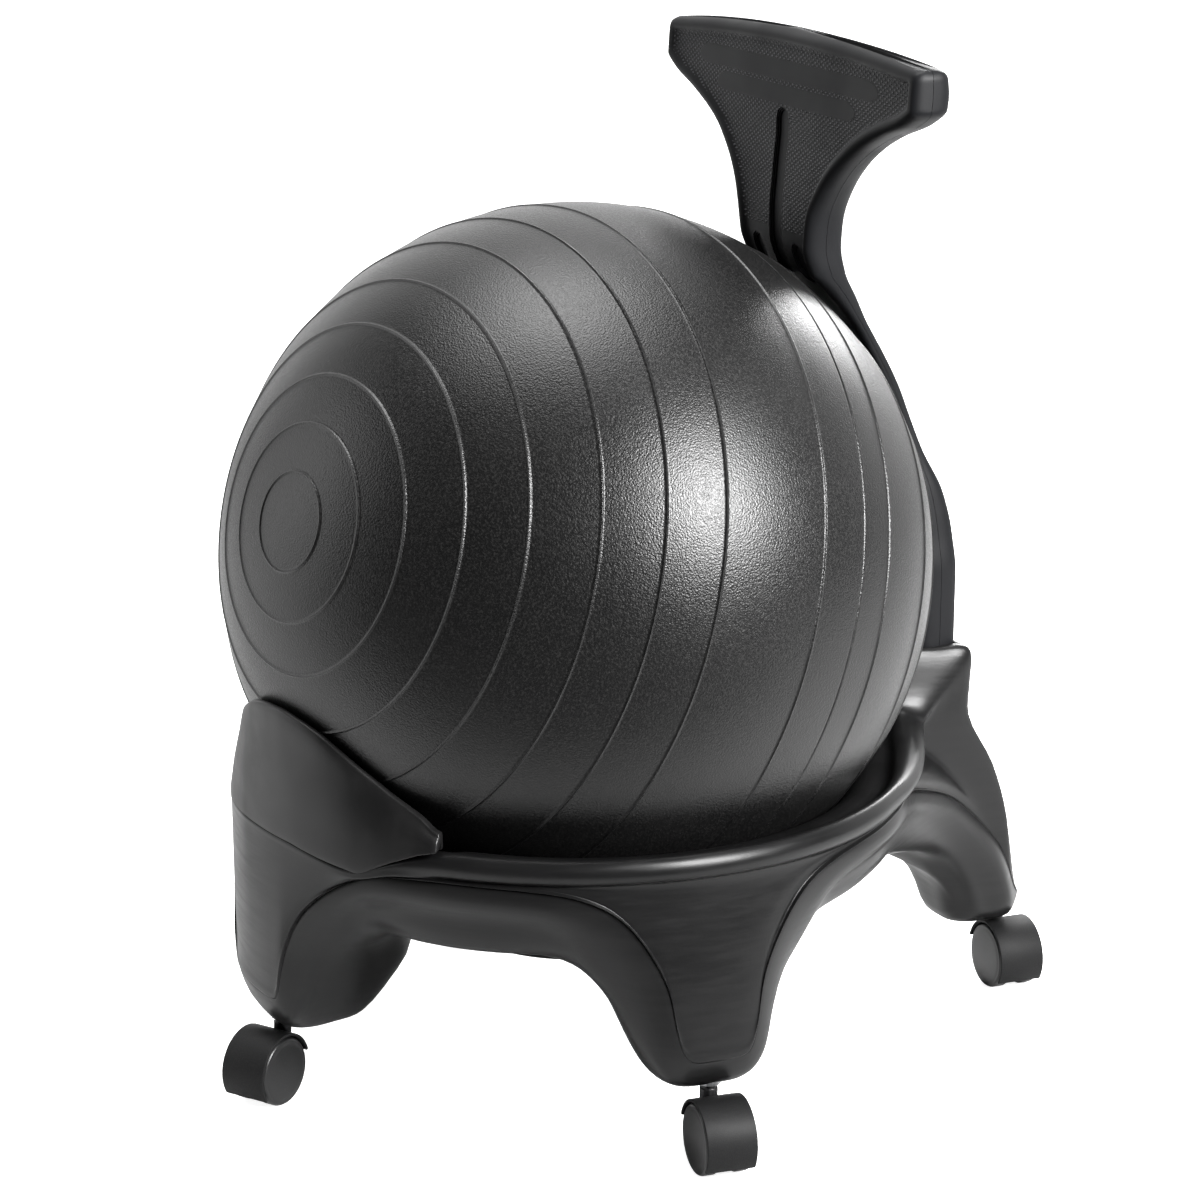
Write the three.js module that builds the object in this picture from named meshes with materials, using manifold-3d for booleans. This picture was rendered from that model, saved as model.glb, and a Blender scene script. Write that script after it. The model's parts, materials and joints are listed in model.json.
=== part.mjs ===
// Balance ball chair: an inflated ball resting in a four-legged base on casters, with a front
// pommel and a small backrest on a curved post.
// Millimetres, +Z up. The sitter faces -Y, and the origin is on the floor, midway along the chair.
import * as THREE from 'three';
import { mergeVertices } from 'three/addons/utils/BufferGeometryUtils.js';
import Module from 'manifold-3d';

const wasm = await Module();
wasm.setup();

// Gaps and cuts
const seatGap = 0.3; // between two pieces that touch
const overrun = 4; // how far a cutting shape runs past the face it cuts

// Ball
const ball = {
  radius: 257,
  centreHeight: 374.4,
  wall: 3,
  axisTurn: 14.5, // degrees, from straight ahead towards +X
  axisRise: 14.7, // degrees above level
  valveRadius: 7,
  plugHeadRadius: 11,
  plugHeadThickness: 1.2,
  plugLength: 9,
  plugBore: 2,
  turnSteps: 48,
  outerSteps: 26,
  innerSteps: 12,
};

// Dish of the base, under the ball. A drop is a distance below the ball's centre
const dish = {
  clearance: 1.5, // to the ball along its radius, at the corners of the dish's facets
  holeRadius: 60,
  hubRadius: 90,
  hubDrop: 274.4,
  thickness: 18.5,
  contactRadius: 185, // where the dish leaves the ball and turns out to the rim
};

// Rolled rim round the dish
const rim = {
  drop: 146.4,
  radius: 238,
  halfWidth: 6.5,
  bead: 17,
  innerDrop: 22,
  innerRadius: 213,
};

// Raised ridge that borders each leg's outer panel and runs over the arches between the legs
const ridge = {
  archDrop: 168.4,
  archRadius: 241,
  footHeight: 64,
  beadWidth: 8,
  beadRise: 2.2,
};

// Foot and arches
const foot = { bottomHeight: 54.5, roundness: 5 };

// Pommel: a hollow cover on a shelf of the base, over the front leg
const pommel = {
  halfTurn: 44, // degrees
  crestDrop: 67.4,
  tipDrop: 142.4,
  tipLift: 1.2, // added to the gap under the tips
  outerRadius: 256,
  tipRadius: 247,
  ballGap: 3,
  wall: 3.6,
  topThickness: 5.5,
  pegRadius: 4,
  pegDepth: 10,
  pegTurn: 24, // degrees
  pegOffset: 20,
};

// Shelf line under the pommel: it drops from the middle to the dip and climbs to the rim
const shelf = { middleDrop: 160.4, dipDrop: 170.9 };

// Socket for the backrest, at the rear of the rim
const socket = {
  topDrop: 84.4,
  bottomDrop: 138.4,
  rearReach: 300,
  lipSize: 5,
  ballGap: 3,
  pocketDrop: 131.4,
};

// Backrest and post. Reach is the distance behind the ball's upright axis, and a level share
// runs from the tongue's bottom to the top of the head
const back = {
  topRise: 374.6, // above the ball's centre
  headHalfWidth: 196,
  tongueHalfWidth: 45,
  tongueLift: 1, // above the floor of its pocket
  frontReach: 152.5,
  ballGap: 2.2,
  tongueFront: 262,
  tongueRear: 292,
  thinnest: 12,
  edgeRound: 9,
  fieldRecess: 4, // of the front, inside its rounded border
  fieldSlope: 3,
  slotWidth: 16,
  slotTopShare: 0.887,
  slotBottomShare: 0.6535,
  slotDepth: 12,
  sideSlotWidth: 15,
  sideSlotTopShare: 0.703,
  sideSlotBottomShare: 0.6455,
  sideSlotOffset: 31,
  barThickness: 3,
  barHalfWidth: 11,
  barTopShare: 0.6355,
  barBottomShare: 0.012,
};

// Bolts of the backrest and screws of its shells
const bolt = {
  radius: 3,
  headRadius: 5.5,
  headHeight: 4,
  length: 20,
  spacing: 40,
  heightShare: 0.468, // of the socket's pocket
  driveRadius: 2.5,
};
const screw = {
  radius: 1.8,
  headRadius: 3.6,
  headHeight: 2,
  length: 17,
  wideOffset: 120,
  wideLevelShare: 0.9465,
  neckOffset: 46,
  neckLevelShare: 0.7485,
  driveRadius: 1.5,
  sink: 6,
};

// Caster
const caster = {
  wheelRadius: 25,
  trail: 20.5, // from the stem to the axle
  halfWidth: 18.7,
  webHalfWidth: 6,
  hoodGap: 1.2,
  hoodWall: 2,
  hoodLowAngle: -34, // degrees from level, on the trailing side
  hoodHighAngle: 162,
  edgeRound: 1.6,
  axleRadius: 3,
  axleDepth: 4,
  sideGap: 0.5,
  webTailAngle: 40, // past the hood's high end
  hoodSteps: 9,
  stemRadius: 5.5,
  collarRadius: 6.3,
  collarBottom: 46,
  collarTop: 53.8,
  bossRadius: 6.2,
  stemBottom: 30,
  stemTop: 77,
  shankRadius: 4,
  grooveHeight: 69,
  grooveWidth: 3,
  grooveRadius: 4.4,
  ringRadius: 5.8,
  ringSplit: 2,
  sleeveBore: 6.1,
  sleeveRadius: 8,
  sleeveBottom: 57,
  sleeveTop: 79.5,
  steps: 20,
};

// Facets of small round pieces
const roundSteps = 12;

// Legs: reach is how far a leg's outer face stands from the ball's axis at the foot, panelRadius is
// the same at the top of the leg, and the bulge is how far its face stands out between the two
const frontLeg = { reach: 253, panelRadius: 256, stemDepth: 23, bulge: 0 };
const sideLeg = { reach: 250, panelRadius: 239, stemDepth: 19, bulge: 0 };
const rearLeg = { reach: 373, panelRadius: 292, stemDepth: 14, bulge: 11 };

// Turns are degrees round from +X, of each leg and of the way its caster's wheels trail
const legs = [
  { name: 'front', headingTurn: -90, trailTurn: -56, ...frontLeg },
  { name: 'right', headingTurn: 0, trailTurn: -5, ...sideLeg },
  { name: 'rear', headingTurn: 90, trailTurn: -2, ...rearLeg },
  { name: 'left', headingTurn: 180, trailTurn: 180, ...sideLeg },
];

// Half of a leg is drawn by eleven columns, from the middle of the leg to the middle of the arch.
// Turns are degrees from the leg's heading. Height shares run from the foot to the ridge of the
// arch, and reach shares are of the leg's reach.
const sideLegColumns = {
  topTurns: [0, 3, 5.5, 8, 10.5, 13, 17, 22, 29, 37, 45],
  ridgeTurns: [0, 2.8, 4.7, 6.1, 7.2, 8, 11.3, 17, 25.4, 35, 45],
  ridgeHeightShares: [0, 0.014, 0.086, 0.186, 0.27, 0.45, 0.67, 0.9, 0.98, 1, 1],
  sideTurns: [0, 3.9, 6.9, 9.5, 11.4, 13.9, 16.7, 21, 27.5, 36, 45],
  sideReachShares: [0.888, 0.89, 0.894, 0.896, 0.89, 0.882, 0.877, 0.892, 0.912, 0.916, 0.916],
  sideHeightShares: [0, 0, 0.017, 0.07, 0.142, 0.274, 0.419, 0.565, 0.762, 0.808, 0.808],
  edgeTurns: [0, 4.3, 7.6, 9.9, 12.1, 14.5, 18.2, 23.6, 31, 38, 45],
  edgeReachShares: [0.752, 0.754, 0.758, 0.763, 0.744, 0.719, 0.716, 0.777, 0.824, 0.848, 0.86],
  edgeHeightShares: [0.036, 0.036, 0.05, 0.089, 0.168, 0.281, 0.445, 0.551, 0.617, 0.63, 0.63],
  wallReachShares: [0.64, 0.64, 0.64, 0.644, 0.648, 0.648, 0.66, 0.704, 0.744, 0.76, 0.76],
  wallHeightShares: [0.38, 0.38, 0.38, 0.38, 0.387, 0.406, 0.498, 0.604, 0.651, 0.657, 0.657],
  underReachShares: [0.6, 0.6, 0.6, 0.6, 0.6, 0.6, 0.61, 0.62, 0.64, 0.65, 0.65],
};
const frontLegColumns = {
  ...sideLegColumns,
  ridgeTurns: [0, 4, 6.4, 8.2, 9.2, 9.8, 11.4, 15.8, 25.7, 35, 45],
  ridgeHeightShares: [0, 0.02, 0.07, 0.15, 0.23, 0.34, 0.47, 0.663, 0.9, 0.985, 1],
  edgeReachShares: [0.7, 0.7, 0.705, 0.715, 0.71, 0.7, 0.705, 0.777, 0.824, 0.848, 0.86],
  wallReachShares: [0.585, 0.585, 0.585, 0.588, 0.593, 0.603, 0.64, 0.7, 0.744, 0.76, 0.76],
  wallHeightShares: [0.279, 0.279, 0.279, 0.29, 0.313, 0.354, 0.47, 0.599, 0.651, 0.657, 0.657],
  underReachShares: [0.55, 0.55, 0.55, 0.55, 0.555, 0.56, 0.59, 0.62, 0.64, 0.65, 0.65],
};
const rearLegColumns = {
  topTurns: [0, 3, 6, 8.8, 10.4, 13, 17, 22, 29, 37, 45],
  ridgeTurns: [0, 2, 3.3, 4.1, 4.8, 5.5, 7.6, 12.4, 25.7, 35, 45],
  ridgeHeightShares: [0, 0.014, 0.04, 0.1, 0.26, 0.41, 0.61, 0.8, 0.965, 1, 1],
  sideTurns: [0, 2.4, 4.3, 6, 6.8, 7.8, 9.5, 13.6, 24, 35, 45],
  sideReachShares: [0.898, 0.898, 0.9, 0.898, 0.883, 0.852, 0.812, 0.753, 0.683, 0.645, 0.616],
  sideHeightShares: [0, 0, 0.017, 0.075, 0.195, 0.327, 0.485, 0.644, 0.801, 0.837, 0.808],
  edgeTurns: [0, 2.4, 4.3, 5.5, 6.3, 7.1, 8.6, 13.5, 25, 35, 45],
  edgeReachShares: [0.815, 0.818, 0.828, 0.84, 0.833, 0.807, 0.769, 0.713, 0.645, 0.618, 0.578],
  edgeHeightShares: [0.036, 0.036, 0.05, 0.103, 0.207, 0.327, 0.433, 0.524, 0.604, 0.676, 0.63],
  wallReachShares: [0.772, 0.772, 0.772, 0.768, 0.757, 0.742, 0.715, 0.66, 0.602, 0.559, 0.511],
  wallHeightShares: [0.287, 0.287, 0.293, 0.307, 0.334, 0.375, 0.443, 0.578, 0.657, 0.683, 0.657],
  underReachShares: [0.46, 0.46, 0.46, 0.46, 0.46, 0.46, 0.46, 0.46, 0.455, 0.45, 0.437],
};
// How far a ridge point has moved from the leg's face to the arch, at each column
const ridgeBlendShares = [0, 0, 0.02, 0.05, 0.07, 0.1, 0.26, 0.5, 1, 1, 1];
const midArch = sideLegColumns.topTurns.length - 1;

const { clamp, degToRad, lerp } = THREE.MathUtils;

// Heights above the floor
const hubHeight = ball.centreHeight - dish.hubDrop;
const rimHeight = ball.centreHeight - rim.drop;
const archHeight = ball.centreHeight - ridge.archDrop;
const socketTop = ball.centreHeight - socket.topDrop;
const socketBottom = ball.centreHeight - socket.bottomDrop;
const pocketFloor = ball.centreHeight - socket.pocketDrop;
const boltHeight = lerp(pocketFloor, socketTop, bolt.heightShare);
const tongueBottom = pocketFloor + back.tongueLift;
const backTop = ball.centreHeight + back.topRise;

// Reading of a broken line that runs through the places given, at one place along it
function along(places, values, place) {
  let next = 1;
  while (next < places.length - 1 && place > places[next]) {
    next += 1;
  }
  const share = (place - places[next - 1]) / (places[next] - places[next - 1]);
  return lerp(values[next - 1], values[next], clamp(share, 0, 1));
}

// Distance of the ball's surface from its upright axis, at a height, with a clearance round it
function ballReach(height, clearance) {
  const rise = height - ball.centreHeight;
  return Math.sqrt(Math.max((ball.radius + clearance) ** 2 - rise ** 2, 0));
}

// Height of the underside of the ball, at a reach, with a clearance round it
function ballUnderside(reach, clearance) {
  return ball.centreHeight - Math.sqrt((ball.radius + clearance) ** 2 - reach ** 2);
}

// Point at a turn in degrees about the ball's upright axis
function polar(turn, reach, height) {
  return new THREE.Vector3(reach * Math.cos(degToRad(turn)), reach * Math.sin(degToRad(turn)), height);
}

// Geometry with shared corners merged, no flat triangles, and its faces turned outwards
function closedGeometry(source) {
  const bare = source.clone();
  bare.deleteAttribute('normal');
  bare.deleteAttribute('uv');
  const merged = mergeVertices(bare);
  const corners = merged.getAttribute('position');
  const faces = [];
  let volume = 0;
  const [a, b, c] = [new THREE.Vector3(), new THREE.Vector3(), new THREE.Vector3()];
  for (let i = 0; i < merged.index.count; i += 3) {
    const face = [merged.index.getX(i), merged.index.getX(i + 1), merged.index.getX(i + 2)];
    if (new Set(face).size === face.length) {
      faces.push(face);
      a.fromBufferAttribute(corners, face[0]);
      b.fromBufferAttribute(corners, face[1]);
      c.fromBufferAttribute(corners, face[2]);
      volume += a.dot(b.cross(c));
    }
  }
  const outward = volume < 0 ? faces.map((face) => face.reverse()) : faces;
  const geometry = new THREE.BufferGeometry();
  geometry.setAttribute('position', corners);
  geometry.setIndex(outward.flat());
  return geometry;
}

function solidOf(source) {
  const geometry = closedGeometry(source);
  return new wasm.Manifold(new wasm.Mesh({
    numProp: 3,
    vertProperties: new Float32Array(geometry.getAttribute('position').array),
    triVerts: new Uint32Array(geometry.index.array),
  }));
}

function geometryOf(solid) {
  const mesh = solid.getMesh();
  const geometry = new THREE.BufferGeometry();
  geometry.setAttribute('position', new THREE.BufferAttribute(mesh.vertProperties, 3));
  geometry.setIndex(new THREE.BufferAttribute(mesh.triVerts, 1));
  return geometry;
}

// Body through a run of closed sections with as many points each. Without a cap plane the run
// closes on itself; with one, its end sections are filled as they look on that plane.
function sectionBody(sections, capPlane) {
  const count = sections[0].length;
  const faces = [];
  const spans = capPlane ? sections.length - 1 : sections.length;
  for (let i = 0; i < spans; i += 1) {
    const next = (i + 1) % sections.length;
    for (let j = 0; j < count; j += 1) {
      const beside = (j + 1) % count;
      faces.push(i * count + j, i * count + beside, next * count + beside);
      faces.push(i * count + j, next * count + beside, next * count + j);
    }
  }
  if (capPlane) {
    const last = (sections.length - 1) * count;
    for (const [a, b, c] of THREE.ShapeUtils.triangulateShape(sections[0].map(capPlane), [])) {
      faces.push(...capFace(sections[0].map(capPlane), a, b, c, true));
    }
    for (const [a, b, c] of THREE.ShapeUtils.triangulateShape(sections.at(-1).map(capPlane), [])) {
      faces.push(...capFace(sections.at(-1).map(capPlane), a, b, c, false).map((corner) => corner + last));
    }
  }
  const geometry = new THREE.BufferGeometry();
  geometry.setAttribute('position', new THREE.Float32BufferAttribute(
    sections.flat().flatMap((point) => point.toArray()), 3));
  geometry.setIndex(faces);
  return closedGeometry(geometry);
}

// Corners of a cap's triangle, in the order that joins it to the walls of the run
function capFace(outline, a, b, c, isFirst) {
  const followsOutline = THREE.ShapeUtils.isClockWise([outline[a], outline[b], outline[c]])
    === THREE.ShapeUtils.isClockWise(outline);
  return followsOutline === isFirst ? [a, c, b] : [a, b, c];
}

// Turned piece about Z, from an outline of [radius, height] points
function turned(outline, steps) {
  const points = outline.map(([radius, height]) => new THREE.Vector2(radius, height));
  return closedGeometry(new THREE.LatheGeometry(points, steps)).rotateX(degToRad(90));
}

// Upright round bar between two heights
function bar(radius, bottom, top, steps = roundSteps) {
  return turned([[0, bottom], [radius, bottom], [radius, top], [0, top]], steps);
}

// Box between two opposite corners
function boxBetween(low, high) {
  const size = high.map((value, i) => value - low[i]);
  const middle = high.map((value, i) => (value + low[i]) / 2);
  return new THREE.BoxGeometry(...size).translate(...middle);
}

const plastic = new THREE.MeshStandardMaterial({ color: 0x1b1b1c, roughness: 0.5, metalness: 0 });
const pommelPlastic = new THREE.MeshStandardMaterial({ color: 0x161617, roughness: 0.42, metalness: 0 });
const backPlastic = new THREE.MeshStandardMaterial({ color: 0x202024, roughness: 0.55, metalness: 0 });
const vinyl = new THREE.MeshStandardMaterial({ color: 0x2b2b2c, roughness: 0.38, metalness: 0 });
const nylon = new THREE.MeshStandardMaterial({ color: 0x262627, roughness: 0.6, metalness: 0 });
const steel = new THREE.MeshStandardMaterial({ color: 0x9a9da0, roughness: 0.35, metalness: 1 });
const blackSteel = new THREE.MeshStandardMaterial({ color: 0x2a2a2b, roughness: 0.4, metalness: 1 });

const chair = new THREE.Group();

function piece(name, geometry, material, parent = chair) {
  geometry.computeVertexNormals();
  const mesh = new THREE.Mesh(geometry, material);
  mesh.name = name;
  parent.add(mesh);
  return mesh;
}

// Shelf line of the base under the pommel, at a turn from straight ahead: it starts from the
// middle height, and each share is of the way to the dip or, past it, from the dip to the rim
const shelfTurns = [0, 15, 22, 30, 36, 41, 45];
const shelfDropShares = [0, 0.28, 0.66, 1, 1, 1, 1];
const shelfClimbShares = [0, 0, 0, 0, 0.5, 0.84, 1];
function shelfHeight(turn) {
  const drop = lerp(shelf.middleDrop, shelf.dipDrop, along(shelfTurns, shelfDropShares, turn));
  return ball.centreHeight - lerp(drop, rim.drop, along(shelfTurns, shelfClimbShares, turn));
}

// The pommel's face draws in towards its tips
const taperTurns = [0, 30, 45];
const taperShares = [0, 0.75, 1];
function pommelOuterReach(turn) {
  return lerp(pommel.outerRadius, pommel.tipRadius, along(taperTurns, taperShares, turn));
}

// The rim's bead, as shares of its half width and its height, from the inside over the top
const beadShares = [
  [-0.85, 0.4], [-0.35, 0.07], [0.3, 0.03], [0.9, 0.25], [1.15, 0.6], [0.75, 0.95], [0.2, 1.15],
];

function plainRim(height, radius) {
  const innerHeight = height - rim.innerDrop;
  const inner = [Math.max(rim.innerRadius, ballReach(innerHeight, socket.ballGap)), innerHeight];
  const bead = beadShares.map(([out, down]) => [radius + out * rim.halfWidth, height - down * rim.bead]);
  return [inner, ...bead];
}

// Flat seat for the pommel, from the ball out to the pommel's face
const shelfReachShares = [0, 0.33, 0.66];
function shelfRim(turn) {
  const height = shelfHeight(turn);
  const inner = ballReach(height, pommel.ballGap);
  const outer = pommelOuterReach(turn);
  const edge = rim.halfWidth / 2;
  return [
    [ballReach(height - rim.bead, pommel.ballGap), height - rim.bead],
    ...shelfReachShares.map((share) => [lerp(inner, outer - edge, share), height]),
    [outer - edge, height],
    [outer, height - edge],
    [outer, height - rim.bead / 2],
    [outer - seatGap, height - rim.bead],
  ];
}

// Top and rear wall of the socket, flat across the rear. The climb share is of the way up the
// inner wall, from the dish to the top
const innerClimbShare = 0.47;
function socketRim(turn) {
  const rear = socket.rearReach / Math.cos(degToRad(turn));
  const shoulder = socketTop - socket.lipSize;
  const inner = ballReach(shoulder, socket.ballGap);
  const low = lerp(ballUnderside(dish.contactRadius, dish.clearance), socketTop, innerClimbShare);
  return [
    [ballReach(low, socket.ballGap), low],
    [inner, shoulder],
    [inner + socket.lipSize, socketTop],
    [(inner + rear) / 2, socketTop],
    [rear - socket.lipSize, socketTop],
    [rear, shoulder],
    [rear, (socketTop + socketBottom) / 2],
    [rear, socketBottom],
  ];
}

// The rim climbs to the socket: shares of the climb, at turns from straight behind
const climbTurns = [10.4, 13, 16, 20, 26, 36, 45];
const climbHeightShares = [0.42, 0.34, 0.25, 0.16, 0.05, 0, 0];
const climbRadiusShares = [0.2, 0.15, 0.1, 0.06, 0.02, 0, 0];

function rimSection(leg, turn) {
  if (leg.name === 'front' && turn < shelfTurns.at(-1)) {
    return shelfRim(turn);
  }
  if (leg.name === 'rear' && turn <= climbTurns[0]) {
    return socketRim(turn);
  }
  if (leg.name === 'rear') {
    const height = lerp(rimHeight, socketTop, along(climbTurns, climbHeightShares, turn));
    const radius = lerp(rim.radius, socket.rearReach, along(climbTurns, climbRadiusShares, turn));
    return plainRim(height, radius);
  }
  return plainRim(rimHeight, rim.radius);
}

// Corners of the section midway between two legs, at the front and at the rear: drops are below
// the ridge of the arch
const frontArch = {
  sideReach: 229, sideDrop: 29, edgeReach: 215, edgeDrop: 56, wallReach: 190, wallDrop: 52, underReach: 162,
};
const rearArch = {
  sideReach: 236, sideDrop: 20, edgeReach: 226, edgeDrop: 42, wallReach: 200, wallDrop: 45, underReach: 165,
};
const archBlendShares = [0, 0, 0, 0, 0, 0, 0, 0.05, 0.35, 0.75, 1];

function columnsOf(leg) {
  return { front: frontLegColumns, rear: rearLegColumns }[leg.name] ?? sideLegColumns;
}

// Reach of the leg's outer face at a height, in the leg's middle plane
function faceReach(leg, height) {
  const top = leg.name === 'rear' ? socketBottom : rimHeight - rim.bead;
  const share = clamp((top - height) / (top - ridge.footHeight), 0, 1);
  return lerp(leg.panelRadius, leg.reach, share) + leg.bulge * Math.sin(Math.PI * share);
}

function ridgePoint(leg, j) {
  const columns = columnsOf(leg);
  const height = lerp(ridge.footHeight, archHeight, columns.ridgeHeightShares[j]);
  const reach = lerp(faceReach(leg, height), ridge.archRadius, ridgeBlendShares[j]);
  return polar(columns.ridgeTurns[j], reach, height);
}

// Places across the dish, down a leg's panel, round its side and back under the dish
const dishReachShares = [0, 0.28, 0.56, 0.8, 1];
const panelShares = [0.33, 0.67];
const upperSideShare = 0.3;
const lowerSideShare = 0.55;
const underReachShares = [0.42, 0.05];

// Section of the base at one column of a half leg, drawn with the leg along +X and the half on +Y
function halfLegSection(leg, arch, j) {
  const columns = columnsOf(leg);
  const turn = columns.topTurns[j];
  const blended = (reachShares, heightShares, turns, archReach, archDrop) => polar(
    turns[j],
    lerp(leg.reach * reachShares[j], archReach, archBlendShares[j]),
    lerp(lerp(foot.bottomHeight, archHeight, heightShares[j]), archHeight - archDrop, archBlendShares[j]),
  );
  const dishSurface = dishReachShares.map((share) => {
    const reach = lerp(dish.holeRadius, dish.contactRadius, share);
    return polar(turn, reach, ballUnderside(reach, dish.clearance));
  });
  const rimPoints = rimSection(leg, turn).map(([reach, height]) => polar(turn, reach, height));
  const crest = ridgePoint(leg, j);
  const side = blended(columns.sideReachShares, columns.sideHeightShares, columns.sideTurns,
    arch.sideReach, arch.sideDrop);
  const edge = blended(columns.edgeReachShares, columns.edgeHeightShares, columns.edgeTurns,
    arch.edgeReach, arch.edgeDrop);
  const wall = blended(columns.wallReachShares, columns.wallHeightShares, columns.edgeTurns,
    arch.wallReach, arch.wallDrop);
  const panelTop = rimPoints.at(-1);
  const panelFoot = crest.clone().add(
    panelTop.clone().sub(crest).normalize().multiplyScalar(ridge.beadWidth));
  const outward = polar(columns.ridgeTurns[j], 1, 0);
  const panel = panelShares.map((share) => panelTop.clone().lerp(panelFoot, share).addScaledVector(
    outward, leg.bulge * Math.sin(Math.PI * share) * (1 - ridgeBlendShares[j])));
  const isEnd = j === 0 || j === midArch;
  const run = isEnd
    ? polar(columns.ridgeTurns[j] + 90, 1, 0)
    : ridgePoint(leg, j + 1).sub(ridgePoint(leg, j - 1));
  const sideNormal = edge.clone().sub(crest).cross(run).normalize();
  const upperSide = crest.clone().lerp(side, upperSideShare).addScaledVector(sideNormal, foot.roundness);
  const lowerSide = side.clone().lerp(edge, lowerSideShare).addScaledVector(sideNormal, foot.roundness / 2);
  const underRadius = dish.clearance + dish.thickness;
  const underReach = lerp(leg.reach * columns.underReachShares[j], arch.underReach, archBlendShares[j]);
  const inwards = underReachShares.map((share) => lerp(dish.hubRadius, dish.contactRadius, share));
  const under = [underReach, ...inwards].map((reach) => polar(turn, reach, ballUnderside(reach, underRadius)));
  return [
    ...dishSurface, ...rimPoints, ...panel, panelFoot,
    crest.clone().addScaledVector(outward, ridge.beadRise),
    upperSide, side, lowerSide, edge, wall, ...under,
    polar(turn, dish.hubRadius, hubHeight),
    polar(turn, dish.holeRadius, hubHeight),
  ];
}

// Section of the base in its real place
function legSection(leg, j, side) {
  const rearwardSide = { front: 0, right: 1, rear: side, left: -1 }[leg.name];
  const facesRear = side === rearwardSide;
  const spin = new THREE.Matrix4().makeRotationZ(degToRad(leg.headingTurn));
  const mirror = new THREE.Matrix4().makeScale(1, side, 1);
  return halfLegSection(leg, facesRear ? rearArch : frontArch, j)
    .map((point) => point.applyMatrix4(mirror).applyMatrix4(spin));
}

function stemPlace(leg) {
  return polar(leg.headingTurn, leg.reach - leg.stemDepth, 0);
}

function baseBody() {
  const sections = [];
  for (const leg of legs) {
    for (let j = midArch - 1; j > 0; j -= 1) {
      sections.push(legSection(leg, j, -1));
    }
    for (let j = 0; j <= midArch; j += 1) {
      sections.push(legSection(leg, j, 1));
    }
  }
  let solid = solidOf(sectionBody(sections));
  for (const leg of legs) {
    const place = stemPlace(leg);
    const hole = bar(caster.sleeveRadius + seatGap, foot.bottomHeight - overrun, caster.sleeveTop + seatGap);
    solid = solid.subtract(solidOf(hole.translate(place.x, place.y, 0)));
  }
  const pocket = boxBetween(
    [-back.tongueHalfWidth - seatGap, back.tongueFront - seatGap, pocketFloor],
    [back.tongueHalfWidth + seatGap, back.tongueRear + seatGap, socketTop + overrun],
  );
  solid = solid.subtract(solidOf(pocket));
  for (const side of [-1, 1]) {
    const boltHole = bar(bolt.radius + seatGap, back.tongueRear - overrun, socket.rearReach + overrun);
    boltHole.rotateX(degToRad(-90)).translate(side * bolt.spacing / 2, 0, boltHeight);
    solid = solid.subtract(solidOf(boltHole));
    const peg = pommelPeg(side);
    const pegHole = bar(pommel.pegRadius + seatGap, peg.bottom - seatGap, peg.top);
    solid = solid.subtract(solidOf(pegHole.translate(peg.x, peg.y, 0)));
  }
  return geometryOf(solid);
}

// Pegs of the pommel, in holes of the shelf
function pommelPeg(side) {
  const seat = shelfHeight(pommel.pegTurn);
  const reach = ballReach(seat, pommel.ballGap) + pommel.pegOffset;
  const place = polar(-90 + side * pommel.pegTurn, reach, 0);
  const top = ballUnderside(reach - pommel.pegRadius - pommel.ballGap / 2, pommel.ballGap);
  return { x: place.x, y: place.y, bottom: seat - pommel.pegDepth, top };
}

// Top edge of the pommel, by turn round towards +X: shares of the way from its tips' height to
// its crest, which stands to one side
const crestTurns = [
  -44, -36, -30, -20, -14, -8, -4, 0, 4, 9, 12.7, 17.6, 22, 26.6, 30.8, 35.3, 40.4, 44,
];
const crestHeightShares = [
  0, 0.02, 0.11, 0.32, 0.48, 0.64, 0.753, 0.853, 0.94, 0.993, 1, 0.955, 0.875, 0.72, 0.552, 0.381,
  0.227, 0.08,
];
const tipTurns = [30, 44];
const tipShares = [0, 1];
const hollowShare = 0.3; // least height of the hollow under the cover
const shoulderShare = 0.6; // most of the upper half that the top's rounding takes
const leanShare = 0.4; // how far the face has drawn in at half its height

function pommelSection(turn) {
  const aside = Math.abs(turn);
  const tipShare = along(tipTurns, tipShares, aside);
  const bottom = shelfHeight(aside) + seatGap + tipShare * pommel.tipLift;
  const drop = lerp(pommel.tipDrop, pommel.crestDrop, along(crestTurns, crestHeightShares, turn));
  const top = ball.centreHeight - drop;
  const middle = (bottom + top) / 2;
  const outerBottom = pommelOuterReach(aside);
  const tipInner = rim.radius - rim.halfWidth / 2;
  const innerReach = (height) => lerp(ballReach(height, pommel.ballGap), tipInner, tipShare);
  const innerTop = innerReach(top);
  const outerTop = innerTop + pommel.topThickness;
  const hollow = Math.max(top - pommel.wall * 2, lerp(bottom, top, hollowShare));
  const shoulder = top - Math.min(pommel.topThickness / 2, (top - middle) * shoulderShare);
  const outline = [
    [outerBottom, bottom],
    [lerp(outerBottom, outerTop, leanShare), middle],
    [outerTop, shoulder],
    [(outerTop + innerTop) / 2, top],
    [innerTop, shoulder],
    [innerReach(middle), middle],
    [innerReach(bottom), bottom],
    [innerReach(bottom) + pommel.wall, bottom],
    [innerReach((bottom + hollow) / 2) + pommel.wall, (bottom + hollow) / 2],
    [(outerTop + innerTop) / 2, hollow],
    [outerBottom - pommel.wall, bottom],
  ];
  return outline.map(([reach, height]) => polar(-90 + turn, reach, height));
}

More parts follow.
